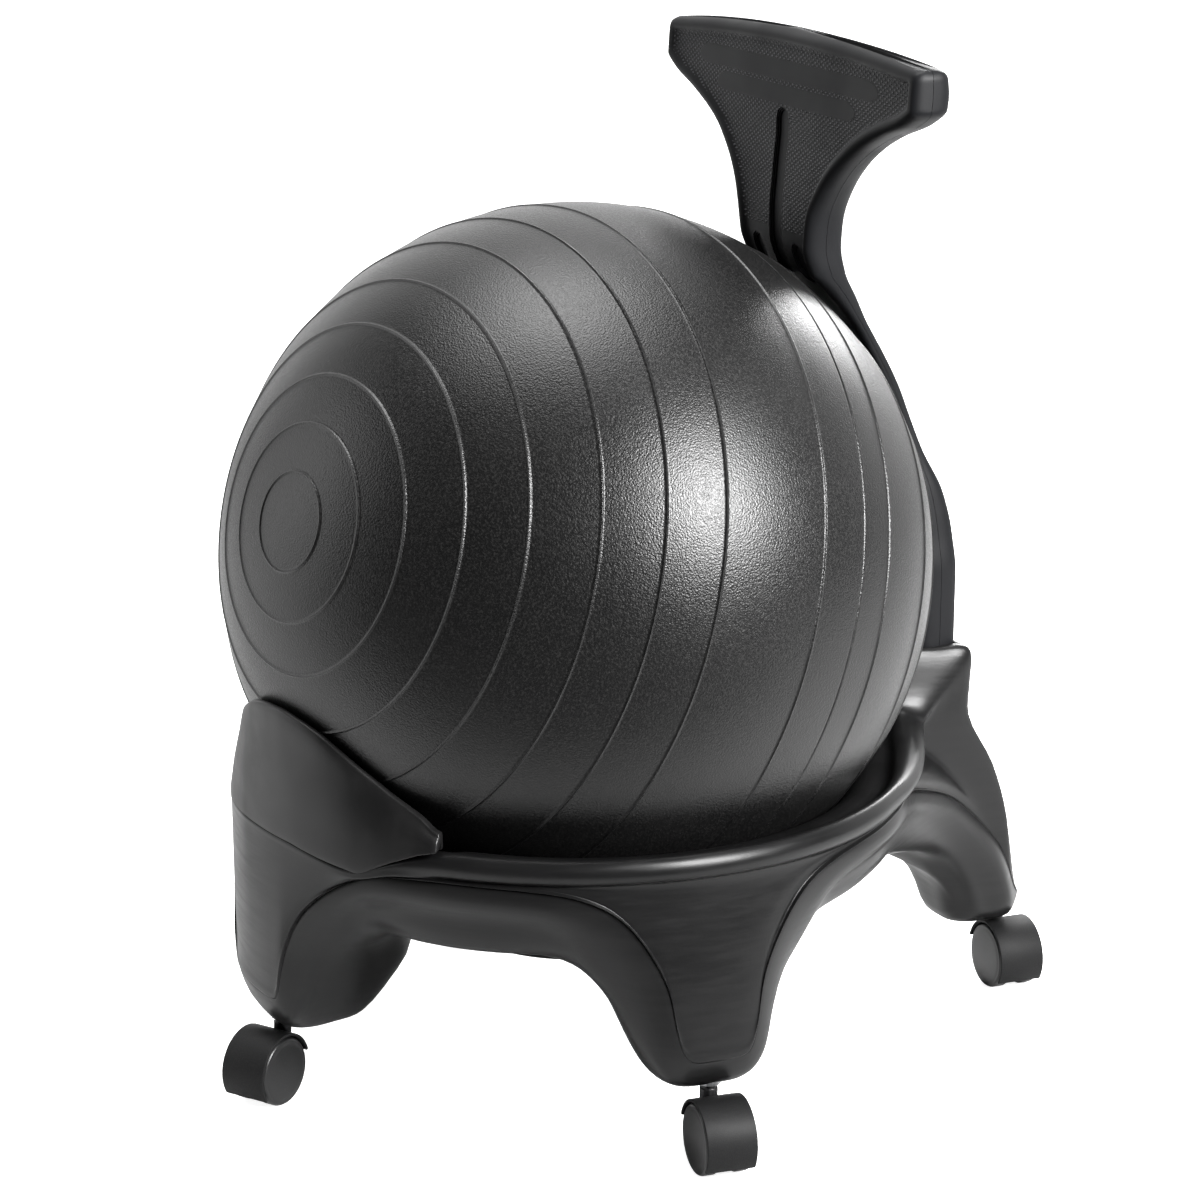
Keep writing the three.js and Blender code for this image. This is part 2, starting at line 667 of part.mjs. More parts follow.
function frontPommel() {
  const turns = frontLegColumns.topTurns.filter((turn) => turn < pommel.halfTurn);
  const half = [...turns.slice(1), pommel.halfTurn];
  const run = [...half.map((turn) => -turn).reverse(), ...turns.slice(0, 1), ...half];
  const onPlane = (point) => new THREE.Vector2(Math.hypot(point.x, point.y), point.z);
  let solid = solidOf(sectionBody(run.map(pommelSection), onPlane));
  for (const side of [-1, 1]) {
    const peg = pommelPeg(side);
    solid = solid.add(solidOf(bar(pommel.pegRadius, peg.bottom, peg.top).translate(peg.x, peg.y, 0)));
  }
  return geometryOf(solid);
}

// Ball and its plug, turned about the axis of its rings
const ballFacing = new THREE.Vector3(
  Math.cos(degToRad(ball.axisRise)) * Math.sin(degToRad(ball.axisTurn)),
  -Math.cos(degToRad(ball.axisRise)) * Math.cos(degToRad(ball.axisTurn)),
  Math.sin(degToRad(ball.axisRise)),
);

function arc(radius, from, to, steps) {
  return Array.from({ length: steps + 1 }, (_, i) => {
    const angle = lerp(from, to, i / steps);
    return [radius * Math.sin(angle), radius * Math.cos(angle)];
  });
}

function onBallAxis(geometry) {
  const spin = new THREE.Quaternion().setFromUnitVectors(new THREE.Vector3(0, 0, 1), ballFacing);
  return geometry.applyQuaternion(spin).translate(0, 0, ball.centreHeight);
}

function ballSkin() {
  const inner = ball.radius - ball.wall;
  const skin = turned(arc(ball.radius, 0, Math.PI, ball.outerSteps), ball.turnSteps);
  const hollow = turned(arc(inner, 0, Math.PI, ball.innerSteps), ball.innerSteps * 2);
  const neck = bar(ball.valveRadius, -ball.radius - overrun, -inner / 2);
  return onBallAxis(geometryOf(solidOf(skin).subtract(solidOf(hollow)).subtract(solidOf(neck))));
}

function valvePlug() {
  const seat = -ball.radius - seatGap;
  const shank = ball.valveRadius - seatGap;
  return onBallAxis(turned([
    [0, seat + ball.plugLength],
    [shank - ball.plugBore, seat + ball.plugLength],
    [shank, seat + ball.plugLength - ball.plugBore],
    [shank, seat],
    [ball.plugHeadRadius, seat],
    [ball.plugHeadRadius - ball.plugHeadThickness, seat - ball.plugHeadThickness],
    [0, seat - ball.plugHeadThickness],
  ], roundSteps));
}

// Levels of the backrest
const levelShares = [
  0, 0.111, 0.2, 0.259, 0.319, 0.388, 0.438, 0.485, 0.537, 0.586, 0.626, 0.665, 0.705, 0.745, 0.786,
  0.824, 0.855, 0.881, 0.903, 0.925, 0.947, 0.968, 0.98, 0.99, 1,
];
const levelWidthShares = [
  0.23, 0.23, 0.23, 0.209, 0.189, 0.161, 0.156, 0.158, 0.179, 0.219, 0.25, 0.28, 0.292, 0.314, 0.377,
  0.476, 0.6, 0.752, 0.918, 1, 1, 1, 0.985, 0.76, 0.23,
];
// Places of the front and rear faces, as shares of the way from the head's front to the tongue's rear
const levelFrontShares = [
  0.785, 0.785, 0.785, 0.778, 0.763, 0.72, 0.649, 0.572, 0.464, 0.337, 0.183, 0.054, 0.004, 0, 0.011,
  0.022, 0.032, 0.032, 0.036, 0.039, 0.043, 0.05, 0.061, 0.079, 0.104,
];
const levelRearShares = [
  1, 1, 1, 0.986, 0.939, 0.817, 0.742, 0.67, 0.556, 0.427, 0.34, 0.254, 0.219, 0.215, 0.219,
  0.226, 0.233, 0.24, 0.247, 0.254, 0.262, 0.254, 0.247, 0.233, 0.204,
];
// How deep the front's middle field is sunk at each level
const levelRecessShares = [
  0, 0, 0, 0, 0, 0, 0, 0, 0, 0, 0.5, 1, 1, 1, 1, 1, 1, 1, 1, 1, 1, 1, 0, 0, 0,
];

function backLevel(share) {
  const height = lerp(tongueBottom, backTop, share);
  const reachAt = (shares) => lerp(back.frontReach, back.tongueRear, along(levelShares, shares, share));
  const front = Math.max(reachAt(levelFrontShares), ballReach(height, back.ballGap));
  const rear = Math.max(reachAt(levelRearShares), front + back.thinnest);
  const halfWidth = back.headHalfWidth * along(levelShares, levelWidthShares, share);
  const recess = back.fieldRecess * along(levelShares, levelRecessShares, share);
  return { height, front, rear, middle: (front + rear) / 2, halfWidth, recess };
}

// Share of the level at a distance above another level
function raisedShare(share, distance) {
  return share + distance / (backTop - tongueBottom);
}

function sharesBetween(low, high) {
  return [low, ...levelShares.filter((share) => share > low && share < high), high];
}

const levelPlane = (point) => new THREE.Vector2(point.x, point.y);

// Half shell between the parting plane and one face, with rounded long edges
const thicknessShare = 0.8; // most of the half shell's thickness that the rounding takes
const bevelShare = 0.3;
function backShell(isFront) {
  const sections = levelShares.map((share) => {
    const { height, front, rear, middle, halfWidth, recess } = backLevel(share);
    const face = isFront ? front : rear;
    const parting = middle + (isFront ? -seatGap : seatGap) / 2;
    const round = Math.min(back.edgeRound, Math.abs(face - parting) * thicknessShare);
    const bevel = round * bevelShare;
    const inwards = Math.sign(parting - face);
    const half = [
      [halfWidth, parting],
      [halfWidth, face + inwards * round],
      [halfWidth - bevel, face + inwards * bevel],
      [halfWidth - round, face],
      ...(isFront ? [[halfWidth - round - back.fieldSlope, face + recess]] : []),
    ];
    const outline = [...half, ...half.map(([across, reach]) => [-across, reach]).reverse()];
    return outline.map(([across, reach]) => new THREE.Vector3(across, reach, height));
  });
  return solidOf(sectionBody(sections, levelPlane));
}

// Upright body whose reach follows the backrest: from and to are given a level
function backRun(shares, halfWidthAt, from, to) {
  return sectionBody(shares.map((share) => {
    const level = backLevel(share);
    const half = halfWidthAt(share);
    return [[-half, from(level)], [half, from(level)], [half, to(level)], [-half, to(level)]]
      .map(([across, reach]) => new THREE.Vector3(across, reach, level.height));
  }), levelPlane);
}

// Groove with a round top, open at the front. Its round end has these places, as shares of its
// half width: how far up each is, and how wide the groove is there
const slotRiseShares = [0, 0.5, 0.87, 1];
const slotWidthShares = [1, 0.87, 0.5, 0.2];
function slot(across, width, bottomShare, topShare) {
  const middleShare = raisedShare(topShare, -width / 2);
  const riseShares = slotRiseShares.map((rise) => raisedShare(middleShare, rise * width / 2));
  const shares = [...sharesBetween(bottomShare, middleShare), ...riseShares.slice(1)];
  const halfWidthAt = (share) => width / 2 * along(riseShares, slotWidthShares, share);
  const run = backRun(shares, halfWidthAt, ({ front }) => front - overrun, ({ front }) => front + back.slotDepth);
  return run.translate(across, 0, 0);
}

function barRun(gap) {
  const half = back.barThickness / 2 + gap;
  const shares = sharesBetween(raisedShare(back.barBottomShare, -gap), raisedShare(back.barTopShare, gap));
  return backRun(shares, () => back.barHalfWidth + gap, ({ middle }) => middle - half, ({ middle }) => middle + half);
}

// Screws of the shells, driven from the rear at two levels
const screwPlaces = [[screw.wideOffset, screw.wideLevelShare], [screw.neckOffset, screw.neckLevelShare]]
  .flatMap(([offset, share]) => [-offset, offset].map((across) => ({ across, ...backLevel(share) })));

// Round piece lying along Y, from an outline of [radius, reach] points
function lying(outline, steps = roundSteps) {
  return turned(outline, steps).rotateX(degToRad(-90));
}

function bored(solid, radius, from, to, { across, height }) {
  const drill = lying([[0, from], [radius, from], [radius, to], [0, to]]).translate(across, 0, height);
  return solid.subtract(solidOf(drill));
}

function frontShell() {
  let solid = backShell(true).subtract(solidOf(barRun(seatGap)));
  solid = solid.subtract(solidOf(slot(0, back.slotWidth, back.slotBottomShare, back.slotTopShare)));
  for (const side of [-1, 1]) {
    const sideSlot = slot(
      side * back.sideSlotOffset, back.sideSlotWidth, back.sideSlotBottomShare, back.sideSlotTopShare);
    solid = solid.subtract(solidOf(sideSlot));
  }
  for (const place of screwPlaces) {
    const seat = place.rear - screw.sink;
    solid = bored(solid, screw.radius + seatGap, seat - screw.length - seatGap, seat, place);
  }
  return geometryOf(solid);
}

function rearShell() {
  let solid = backShell(false).subtract(solidOf(barRun(seatGap)));
  for (const place of screwPlaces) {
    solid = bored(solid, screw.radius + seatGap, place.rear - screw.length * 2, place.rear, place);
    solid = bored(solid, screw.headRadius + seatGap, place.rear - screw.sink, place.rear + overrun, place);
  }
  for (const side of [-1, 1]) {
    const place = { across: side * bolt.spacing / 2, height: boltHeight };
    const tip = socket.rearReach - bolt.length;
    solid = bored(solid, bolt.radius + seatGap, tip, back.tongueRear + overrun, place);
  }
  return geometryOf(solid);
}

// Pan-headed fastener along Y, its head behind the seat and its shank ahead of it. The shares are
// the shank's tip, the head's side and top, and the floor of its drive
const tipRadiusShare = 0.6;
const headSideShare = 0.6;
const headTopShare = 0.7;
const driveFloorShare = 0.5;
function fastener({ radius, headRadius, headHeight, length, driveRadius }, seat) {
  const head = seat + headHeight;
  return lying([
    [0, seat - length],
    [radius * tipRadiusShare, seat - length],
    [radius, seat - length + radius],
    [radius, seat],
    [headRadius, seat],
    [headRadius, seat + headHeight * headSideShare],
    [headRadius * headTopShare, head],
    [driveRadius, head],
    [driveRadius, seat + headHeight * driveFloorShare],
    [0, seat + headHeight * driveFloorShare],
  ]);
}

// Casters are drawn with the stem on Z and the wheels trailing along +X
const wheelAxis = (geometry) => geometry.translate(caster.trail, 0, caster.wheelRadius);

function wheel(side) {
  const inner = caster.webHalfWidth + caster.sideGap;
  const outer = caster.halfWidth;
  const edge = caster.edgeRound;
  const bore = caster.axleRadius + seatGap;
  const boreEnd = outer - caster.axleDepth + seatGap;
  const radius = caster.wheelRadius;
  const disc = lying([
    [0, outer],
    [radius - edge * 3, outer],
    [radius - edge, outer - edge / 2],
    [radius, outer - edge * 1.5],
    [radius, inner + edge / 2],
    [radius - edge / 2, inner],
    [bore, inner],
    [bore, boreEnd],
    [0, boreEnd],
  ], caster.steps);
  return wheelAxis(side < 0 ? disc.rotateZ(degToRad(180)) : disc);
}

function hood() {
  const inner = caster.wheelRadius + caster.hoodGap;
  const outer = inner + caster.hoodWall;
  const [low, high] = [degToRad(caster.hoodLowAngle), degToRad(caster.hoodHighAngle)];
  const cover = new THREE.Shape();
  cover.absarc(0, 0, outer, low, high, false);
  cover.absarc(0, 0, inner, high, low, true);
  const web = new THREE.Shape();
  web.absarc(0, 0, (inner + outer) / 2, low, high + degToRad(caster.webTailAngle), false);
  const across = (shape, halfWidth) => {
    const plate = new THREE.ExtrudeGeometry(shape, {
      depth: halfWidth * 2, bevelEnabled: false, curveSegments: caster.hoodSteps,
    });
    return solidOf(wheelAxis(plate.rotateX(degToRad(90)).translate(0, halfWidth, 0)));
  };
  const bossTop = caster.collarBottom - seatGap;
  const stemHole = bar(caster.shankRadius + seatGap, caster.stemBottom - seatGap, bossTop + overrun);
  const collarHole = bar(caster.collarRadius + seatGap, bossTop, caster.collarTop + overrun);
  const axle = caster.axleRadius + seatGap;
  const reach = caster.webHalfWidth + overrun;
  const axleHole = wheelAxis(lying([[0, -reach], [axle, -reach], [axle, reach], [0, reach]]));
  return geometryOf(across(cover, caster.halfWidth - caster.sideGap)
    .add(across(web, caster.webHalfWidth))
    .add(solidOf(bar(caster.bossRadius, caster.stemBottom, bossTop)))
    .subtract(solidOf(stemHole))
    .subtract(solidOf(collarHole))
    .subtract(solidOf(axleHole)));
}

function stem() {
  const grooveTop = caster.grooveHeight + caster.grooveWidth;
  const tip = caster.stemRadius - caster.grooveRadius;
  return turned([
    [0, caster.stemBottom],
    [caster.shankRadius, caster.stemBottom],
    [caster.shankRadius, caster.collarBottom],
    [caster.collarRadius, caster.collarBottom],
    [caster.collarRadius, caster.collarTop],
    [caster.stemRadius, caster.collarTop],
    [caster.stemRadius, caster.grooveHeight],
    [caster.grooveRadius, caster.grooveHeight],
    [caster.grooveRadius, grooveTop],
    [caster.stemRadius, grooveTop],
    [caster.stemRadius, caster.stemTop - tip],
    [caster.stemRadius - tip, caster.stemTop],
    [0, caster.stemTop],
  ], roundSteps);
}

function gripRing() {
  const inner = caster.grooveRadius + seatGap;
  const bottom = caster.grooveHeight + seatGap;
  const top = caster.grooveHeight + caster.grooveWidth - seatGap;
  const ring = turned([
    [inner, bottom], [caster.ringRadius, bottom], [caster.ringRadius, top], [inner, top], [inner, bottom],
  ], roundSteps);
  const split = boxBetween([0, -caster.ringSplit / 2, bottom - overrun],
    [caster.ringRadius + overrun, caster.ringSplit / 2, top + overrun]);
  return geometryOf(solidOf(ring).subtract(solidOf(split)));
}

function legSleeve() {
  const [inner, outer] = [caster.sleeveBore, caster.sleeveRadius];
  const [bottom, top] = [caster.sleeveBottom, caster.sleeveTop];
  return turned([[inner, bottom], [outer, bottom], [outer, top], [inner, top], [inner, bottom]], roundSteps);
}

function axle() {
  const reach = caster.halfWidth - caster.axleDepth;
  return wheelAxis(lying([[0, -reach], [caster.axleRadius, -reach], [caster.axleRadius, reach], [0, reach]]));
}

piece('base_body', baseBody(), plastic);
piece('front_pommel', frontPommel(), pommelPlastic);
piece('ball_skin', ballSkin(), vinyl);
piece('valve_plug', valvePlug(), nylon);
piece('backrest_front_shell', frontShell(), backPlastic);
piece('backrest_rear_shell', rearShell(), backPlastic);
piece('back_core_bar', barRun(0), steel);
for (const [name, side] of [['left', -1], ['right', 1]]) {
  piece(`back_bolt_${name}`, fastener(bolt, socket.rearReach + seatGap), blackSteel)
    .position.set(side * bolt.spacing / 2, 0, boltHeight);
}
screwPlaces.forEach(({ across, height, rear }, i) => {
  piece(`shell_screw_${i + 1}`, fastener(screw, rear - screw.sink + seatGap), blackSteel)
    .position.set(across, 0, height);
});
for (const leg of legs) {
  const unit = new THREE.Group();
  unit.position.copy(stemPlace(leg));
  unit.rotation.z = degToRad(leg.trailTurn);
  chair.add(unit);
  piece(`${leg.name}_leg_sleeve`, legSleeve(), steel, unit);
  piece(`${leg.name}_grip_ring`, gripRing(), steel, unit);
  piece(`${leg.name}_caster_stem`, stem(), blackSteel, unit);
  piece(`${leg.name}_caster_hood`, hood(), nylon, unit);
  piece(`${leg.name}_caster_axle`, axle(), steel, unit);
  piece(`${leg.name}_caster_wheel_left`, wheel(1), nylon, unit);
  piece(`${leg.name}_caster_wheel_right`, wheel(-1), nylon, unit);
}

// The origin is midway along the chair's box, on the floor
const box = new THREE.Box3().setFromObject(chair, true);
chair.position.set(-(box.min.x + box.max.x) / 2, -(box.min.y + box.max.y) / 2, -box.min.z);
chair.updateMatrixWorld(true);

export default chair;
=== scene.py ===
"""Balance ball chair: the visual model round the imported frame.

Blender objects are in metres, +Z up, and the sitter faces -Y. Sizes below are in millimetres,
measured from the point on the floor under the ball, and are placed in the frame by placed().
"""
import json
import math
from types import SimpleNamespace as Sizes

import bpy
import numpy as np
from mathutils import Matrix, Vector


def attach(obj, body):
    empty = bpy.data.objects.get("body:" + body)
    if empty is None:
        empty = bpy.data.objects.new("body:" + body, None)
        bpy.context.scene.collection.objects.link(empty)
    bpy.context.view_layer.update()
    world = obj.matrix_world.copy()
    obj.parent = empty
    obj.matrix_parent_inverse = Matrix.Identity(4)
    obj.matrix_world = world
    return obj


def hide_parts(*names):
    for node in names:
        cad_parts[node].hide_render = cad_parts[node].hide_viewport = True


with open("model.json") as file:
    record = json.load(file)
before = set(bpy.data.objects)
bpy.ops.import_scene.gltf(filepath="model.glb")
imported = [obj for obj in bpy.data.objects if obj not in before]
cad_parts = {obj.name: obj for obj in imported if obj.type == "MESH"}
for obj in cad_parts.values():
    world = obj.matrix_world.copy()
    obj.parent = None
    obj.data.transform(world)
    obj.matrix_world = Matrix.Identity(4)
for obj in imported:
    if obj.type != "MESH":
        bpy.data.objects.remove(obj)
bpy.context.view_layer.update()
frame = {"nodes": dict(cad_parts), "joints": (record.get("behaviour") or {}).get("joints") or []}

MM = 0.001
ball_joint = next(joint for joint in frame["joints"] if joint["name"] == "ball_turn")
origin = np.array([ball_joint["pos_m"][0], ball_joint["pos_m"][1], 0.0])
ball_axis = Vector(ball_joint["axis"]).normalized()


def placed(points):
    """Points in millimetres from under the ball, as points of the frame in metres."""
    return np.asarray(points, float) * MM + origin


# Camera, at the photograph's viewing angle
CAMERA_TURN = 66.08  # degrees round the chair, from straight ahead
CAMERA_RISE = 15.15
CAMERA_ROLL = 0.26
CAMERA_DISTANCE = 2579.8
CAMERA_SIDE = 17.27
CAMERA_AIM = 343.6
CAMERA_LENS = 106.74
CAMERA_SENSOR = 36
CAMERA_FAR = 100  # metres


def direction(turn, rise):
    """Unit vector from the chair, at a turn from straight ahead and a rise above level."""
    turn, rise = math.radians(turn), math.radians(rise)
    return Vector((math.sin(turn) * math.cos(rise), -math.cos(turn) * math.cos(rise), math.sin(rise)))


def make_camera():
    back = direction(CAMERA_TURN, CAMERA_RISE)
    level = Vector((0, 0, 1)).cross(back).normalized()
    upright = back.cross(level)
    roll = math.radians(CAMERA_ROLL)
    right = level * math.cos(roll) + upright * math.sin(roll)
    up = upright * math.cos(roll) - level * math.sin(roll)
    place = Vector((0, 0, CAMERA_AIM)) + back * CAMERA_DISTANCE + level * CAMERA_SIDE
    data = bpy.data.cameras.new("camera")
    data.lens = CAMERA_LENS
    data.sensor_width = CAMERA_SENSOR
    data.clip_end = CAMERA_FAR
    camera = bpy.data.objects.new("camera", data)
    turned = Matrix((right, up, back)).transposed().to_4x4()
    camera.matrix_world = Matrix.Translation(Vector(placed(place))) @ turned
    bpy.context.scene.collection.objects.link(camera)
    bpy.context.scene.camera = camera


make_camera()

# Mesh helpers
TINY = 1e-6


def add_object(name, mesh):
    obj = bpy.data.objects.new(name, mesh)
    bpy.context.scene.collection.objects.link(obj)
    return obj


def shade(mesh, sharp=None):
    """Smooth shading, but for edges that turn by more than the sharp angle in degrees."""
    mesh.shade_smooth()
    if sharp is not None:
        mesh.set_sharp_from_angle(angle=math.radians(sharp))


def build(name, points, faces, sharp=None):
    """Smooth-shaded object from points in millimetres, with its faces turned outwards."""
    mesh = bpy.data.meshes.new(name)
    mesh.from_pydata(placed(points).tolist(), [], faces)
    mesh.validate()
    volume = 0.0
    for polygon in mesh.polygons:
        corners = [mesh.vertices[v].co for v in polygon.vertices]
        for a, b in zip(corners[1:], corners[2:]):
            volume += corners[0].dot(a.cross(b))
    if volume < 0:
        mesh.flip_normals()
    shade(mesh, sharp)
    return add_object(name, mesh)


def grid_faces(rows, columns, wrap_rows, wrap_columns):
    """Quads of a grid of points that are numbered row by row."""
    faces = []
    for i in range(rows if wrap_rows else rows - 1):
        here, below = i * columns, (i + 1) % rows * columns
        for j in range(columns if wrap_columns else columns - 1):
            beside = (j + 1) % columns
            faces.append((here + j, here + beside, below + beside, below + j))
    return faces


def tube_faces(rows, columns):
    """Quads of a tube of closed loops, and a flat face over each of its ends."""
    last = (rows - 1) * columns
    ends = [tuple(range(columns))[::-1], tuple(range(last, last + columns))]
    return grid_faces(rows, columns, False, True) + ends


def lathe(profile, steps, radius_shares=None):
    """Points and faces of a turned piece about Z. A profile point with no radius closes the end."""
    points, rings = [], []
    angles = np.linspace(0, 2 * math.pi, steps, endpoint=False)
    for i, (radius, height) in enumerate(profile):
        if radius < TINY:
            rings.append([len(points)])
            points.append((0.0, 0.0, height))
            continue
        radii = radius * (np.ones(steps) if radius_shares is None else radius_shares(i, angles))
        rings.append(list(range(len(points), len(points) + steps)))
        points += [(r * math.cos(a), r * math.sin(a), height) for a, r in zip(angles, radii)]
    faces = []
    for low, high in zip(rings, rings[1:]):
        for j in range(steps):
            k = (j + 1) % steps
            if len(low) == 1 and len(high) > 1:
                faces.append((low[0], high[k], high[j]))
            elif len(high) == 1 and len(low) > 1:
                faces.append((low[j], low[k], high[0]))
            elif len(low) > 1:
                faces.append((low[j], low[k], high[k], high[j]))
    return np.array(points), faces


def rounded(profile, radius, steps=4):
    """Open outline with each inner corner rounded by up to the radius."""
    profile = [np.array(point, float) for point in profile]
    result = [profile[0]]
    for before, corner, after in zip(profile, profile[1:], profile[2:]):
        a, b = before - corner, after - corner
        la, lb = np.linalg.norm(a), np.linalg.norm(b)
        cut = min(radius, la * 0.45, lb * 0.45)
        start, end = corner + a / la * cut, corner + b / lb * cut
        for i in range(steps + 1):
            t = i / steps
            result.append((1 - t) ** 2 * start + 2 * t * (1 - t) * corner + t ** 2 * end)
    result.append(profile[-1])
    return [tuple(point) for point in result]


def moved(form, matrix):
    return np.array([tuple(matrix @ Vector(point)) for point in form[0]]), form[1]


def cut(obj, *tools, operation="DIFFERENCE"):
    """Cuts the tools out of obj, or joins them to it, and removes them."""
    for tool in tools:
        modifier = obj.modifiers.new("cut", "BOOLEAN")
        modifier.operation = operation
        modifier.solver = "EXACT"
        modifier.object = tool
    depsgraph = bpy.context.evaluated_depsgraph_get()
    mesh = bpy.data.meshes.new_from_object(obj.evaluated_get(depsgraph))
    obj.modifiers.clear()
    obj.data = mesh
    for tool in tools:
        bpy.data.objects.remove(tool)


def between(start, start_slope, end, end_slope, t):
    """Value at a share of the way from start to end, on a cubic with these slopes at its ends."""
    return (start * (2 * t ** 3 - 3 * t ** 2 + 1) + start_slope * (t ** 3 - 2 * t ** 2 + t)
            + end * (3 * t ** 2 - 2 * t ** 3) + end_slope * (t ** 3 - t ** 2))


def smooth_ring(values, steps, jump):
    """Closed run of values along the first axis, filled in with steps places for each.

    It doesn't overshoot, and jump is what the values gain once round.
    """
    rise = np.roll(values, -1, axis=0) - values
    rise[-1] += jump
    before = np.roll(rise, 1, axis=0)
    together = before * rise > 0
    total = np.where(together, before + rise, 1.0)
    slope = np.where(together, 2 * before * rise / total, 0.0)
    after = np.roll(slope, -1, axis=0)
    filled = [between(values, slope, values + rise, after, t) for t in np.arange(steps) / steps]
    return np.stack(filled, axis=1).reshape(-1, *values.shape[1:])


def smooth_loops(loops, steps):
    """Closed curves through the points of each loop, filled in with steps places for each."""
    before, here = np.roll(loops, 1, axis=1), loops
    after, beyond = np.roll(loops, -1, axis=1), np.roll(loops, -2, axis=1)

    def gap(a, b):
        return np.sqrt(np.linalg.norm(b - a, axis=2, keepdims=True)) + TINY

    first, middle, last = gap(before, here), gap(here, after), gap(after, beyond)
    straight = (after - here) / middle
    start = middle * (straight + (here - before) / first - (after - before) / (first + middle))
    end = middle * (straight + (beyond - after) / last - (beyond - here) / (middle + last))
    filled = [between(here, start, after, end, t) for t in np.arange(steps) / steps]
    return np.stack(filled, axis=2).reshape(loops.shape[0], -1, loops.shape[2])


def monotone(places, values, at):
    """Smooth reading, without overshoot, of a run of values at new places."""
    places, values, at = (np.asarray(run, float) for run in (places, values, at))
    widths = np.diff(places)
    rises = np.diff(values) / widths
    slopes = np.zeros(len(values))
    for i in range(1, len(values) - 1):
        if rises[i - 1] * rises[i] > 0:
            a, b = 2 * widths[i] + widths[i - 1], widths[i] + 2 * widths[i - 1]
            slopes[i] = (a + b) / (a / rises[i - 1] + b / rises[i])
    i = np.clip(np.searchsorted(places, at) - 1, 0, len(widths) - 1)
    t = np.clip((at - places[i]) / widths[i], 0, 1)
    return between(values[i], widths[i] * slopes[i], values[i + 1], widths[i] * slopes[i + 1], t)


def smoothstep(low, high, value):
    t = np.clip((np.asarray(value, float) - low) / (high - low), 0, 1)
    return t * t * (3 - 2 * t)


def lerp(a, b, t):
    return a + (b - a) * t


def unit(vector):
    return vector / np.linalg.norm(vector)


# Materials


class Nodes:
    """Short calls for the nodes of one node tree."""

    def __init__(self, tree):
        self.tree = tree

    def feed(self, socket, value):
        """Gives an input socket a value, or a link from another node's output."""
        if isinstance(value, bpy.types.NodeSocket):
            self.tree.links.new(value, socket)
        else:
            socket.default_value = value

    def node(self, kind, inputs=None, **settings):
        node = self.tree.nodes.new(kind)
        for key, value in settings.items():
            setattr(node, key, value)
        for key, value in (inputs or {}).items():
            self.feed(node.inputs[key], value)
        return node

    def math(self, operation, a, b=0.0):
        return self.node("ShaderNodeMath", {0: a, 1: b}, operation=operation).outputs[0]

    def along(self, vector, heading):
        """How far a vector reaches along a heading."""
        node = self.node("ShaderNodeVectorMath", {0: vector, 1: heading}, operation="DOT_PRODUCT")
        return node.outputs["Value"]

    def ramp(self, value, low, high, start, end):
        inputs = {"Value": value, "From Min": low, "From Max": high, "To Min": start, "To Max": end}
        return self.node("ShaderNodeMapRange", inputs, interpolation_type="SMOOTHSTEP").outputs["Result"]


class Paint(Nodes):
    """Node material with one principled shader."""

    def __init__(self, name, colour, roughness, metallic=0.0, specular=0.5):
        self.material = bpy.data.materials.new(name)
        self.material.use_nodes = True
        super().__init__(self.material.node_tree)
        self.shader = self.tree.nodes["Principled BSDF"]
        self.shader.inputs["Base Color"].default_value = (*colour, 1)
        self.shader.inputs["Roughness"].default_value = roughness
        self.shader.inputs["Metallic"].default_value = metallic
        self.shader.inputs["Specular IOR Level"].default_value = specular
        self.place = self.node("ShaderNodeTexCoord").outputs["Object"]
        self.relief = None

    def stretched(self, scale, turn=(0, 0, 0)):
        inputs = {"Vector": self.place, "Scale": scale, "Rotation": turn}
        return self.node("ShaderNodeMapping", inputs).outputs["Vector"]

    def noise(self, scale, detail=3.0, roughness=0.5, vector=None):
        inputs = {"Scale": scale, "Detail": detail, "Roughness": roughness}
        inputs["Vector"] = vector or self.place
        return self.node("ShaderNodeTexNoise", inputs).outputs["Fac"]

    def cells(self, scale):
        inputs = {"Vector": self.place, "Scale": scale}
        return self.node("ShaderNodeTexVoronoi", inputs).outputs["Distance"]

    def mix(self, share, a, b):
        """Colour at a share of the way from one colour, or socket of a colour, to another."""
        node = self.node("ShaderNodeMix", {"Factor": share}, data_type="RGBA")
        for key, colour in (("A", a), ("B", b)):
            socket = next(s for s in node.inputs if s.name == key and s.type == "RGBA")
            self.feed(socket, colour if isinstance(colour, bpy.types.NodeSocket) else (*colour, 1))
        return next(s for s in node.outputs if s.type == "RGBA")

    def tones(self, value, low, high, a, b, share=1):
        """Colour that goes from a towards b as a value goes from low to high."""
        return self.mix(self.ramp(value, low, high, 0, share), a, b)

    def colour(self, value):
        self.feed(self.shader.inputs["Base Color"], value)

    def roughness(self, value):
        self.feed(self.shader.inputs["Roughness"], value)

    def bump(self, height, depth, strength):
        """Adds relief: depth is in metres for a height of one."""
        inputs = {"Distance": depth, "Strength": strength, "Height": height}
        if self.relief is not None:
            inputs["Normal"] = self.relief
        self.relief = self.node("ShaderNodeBump", inputs).outputs["Normal"]
        self.feed(self.shader.inputs["Normal"], self.relief)


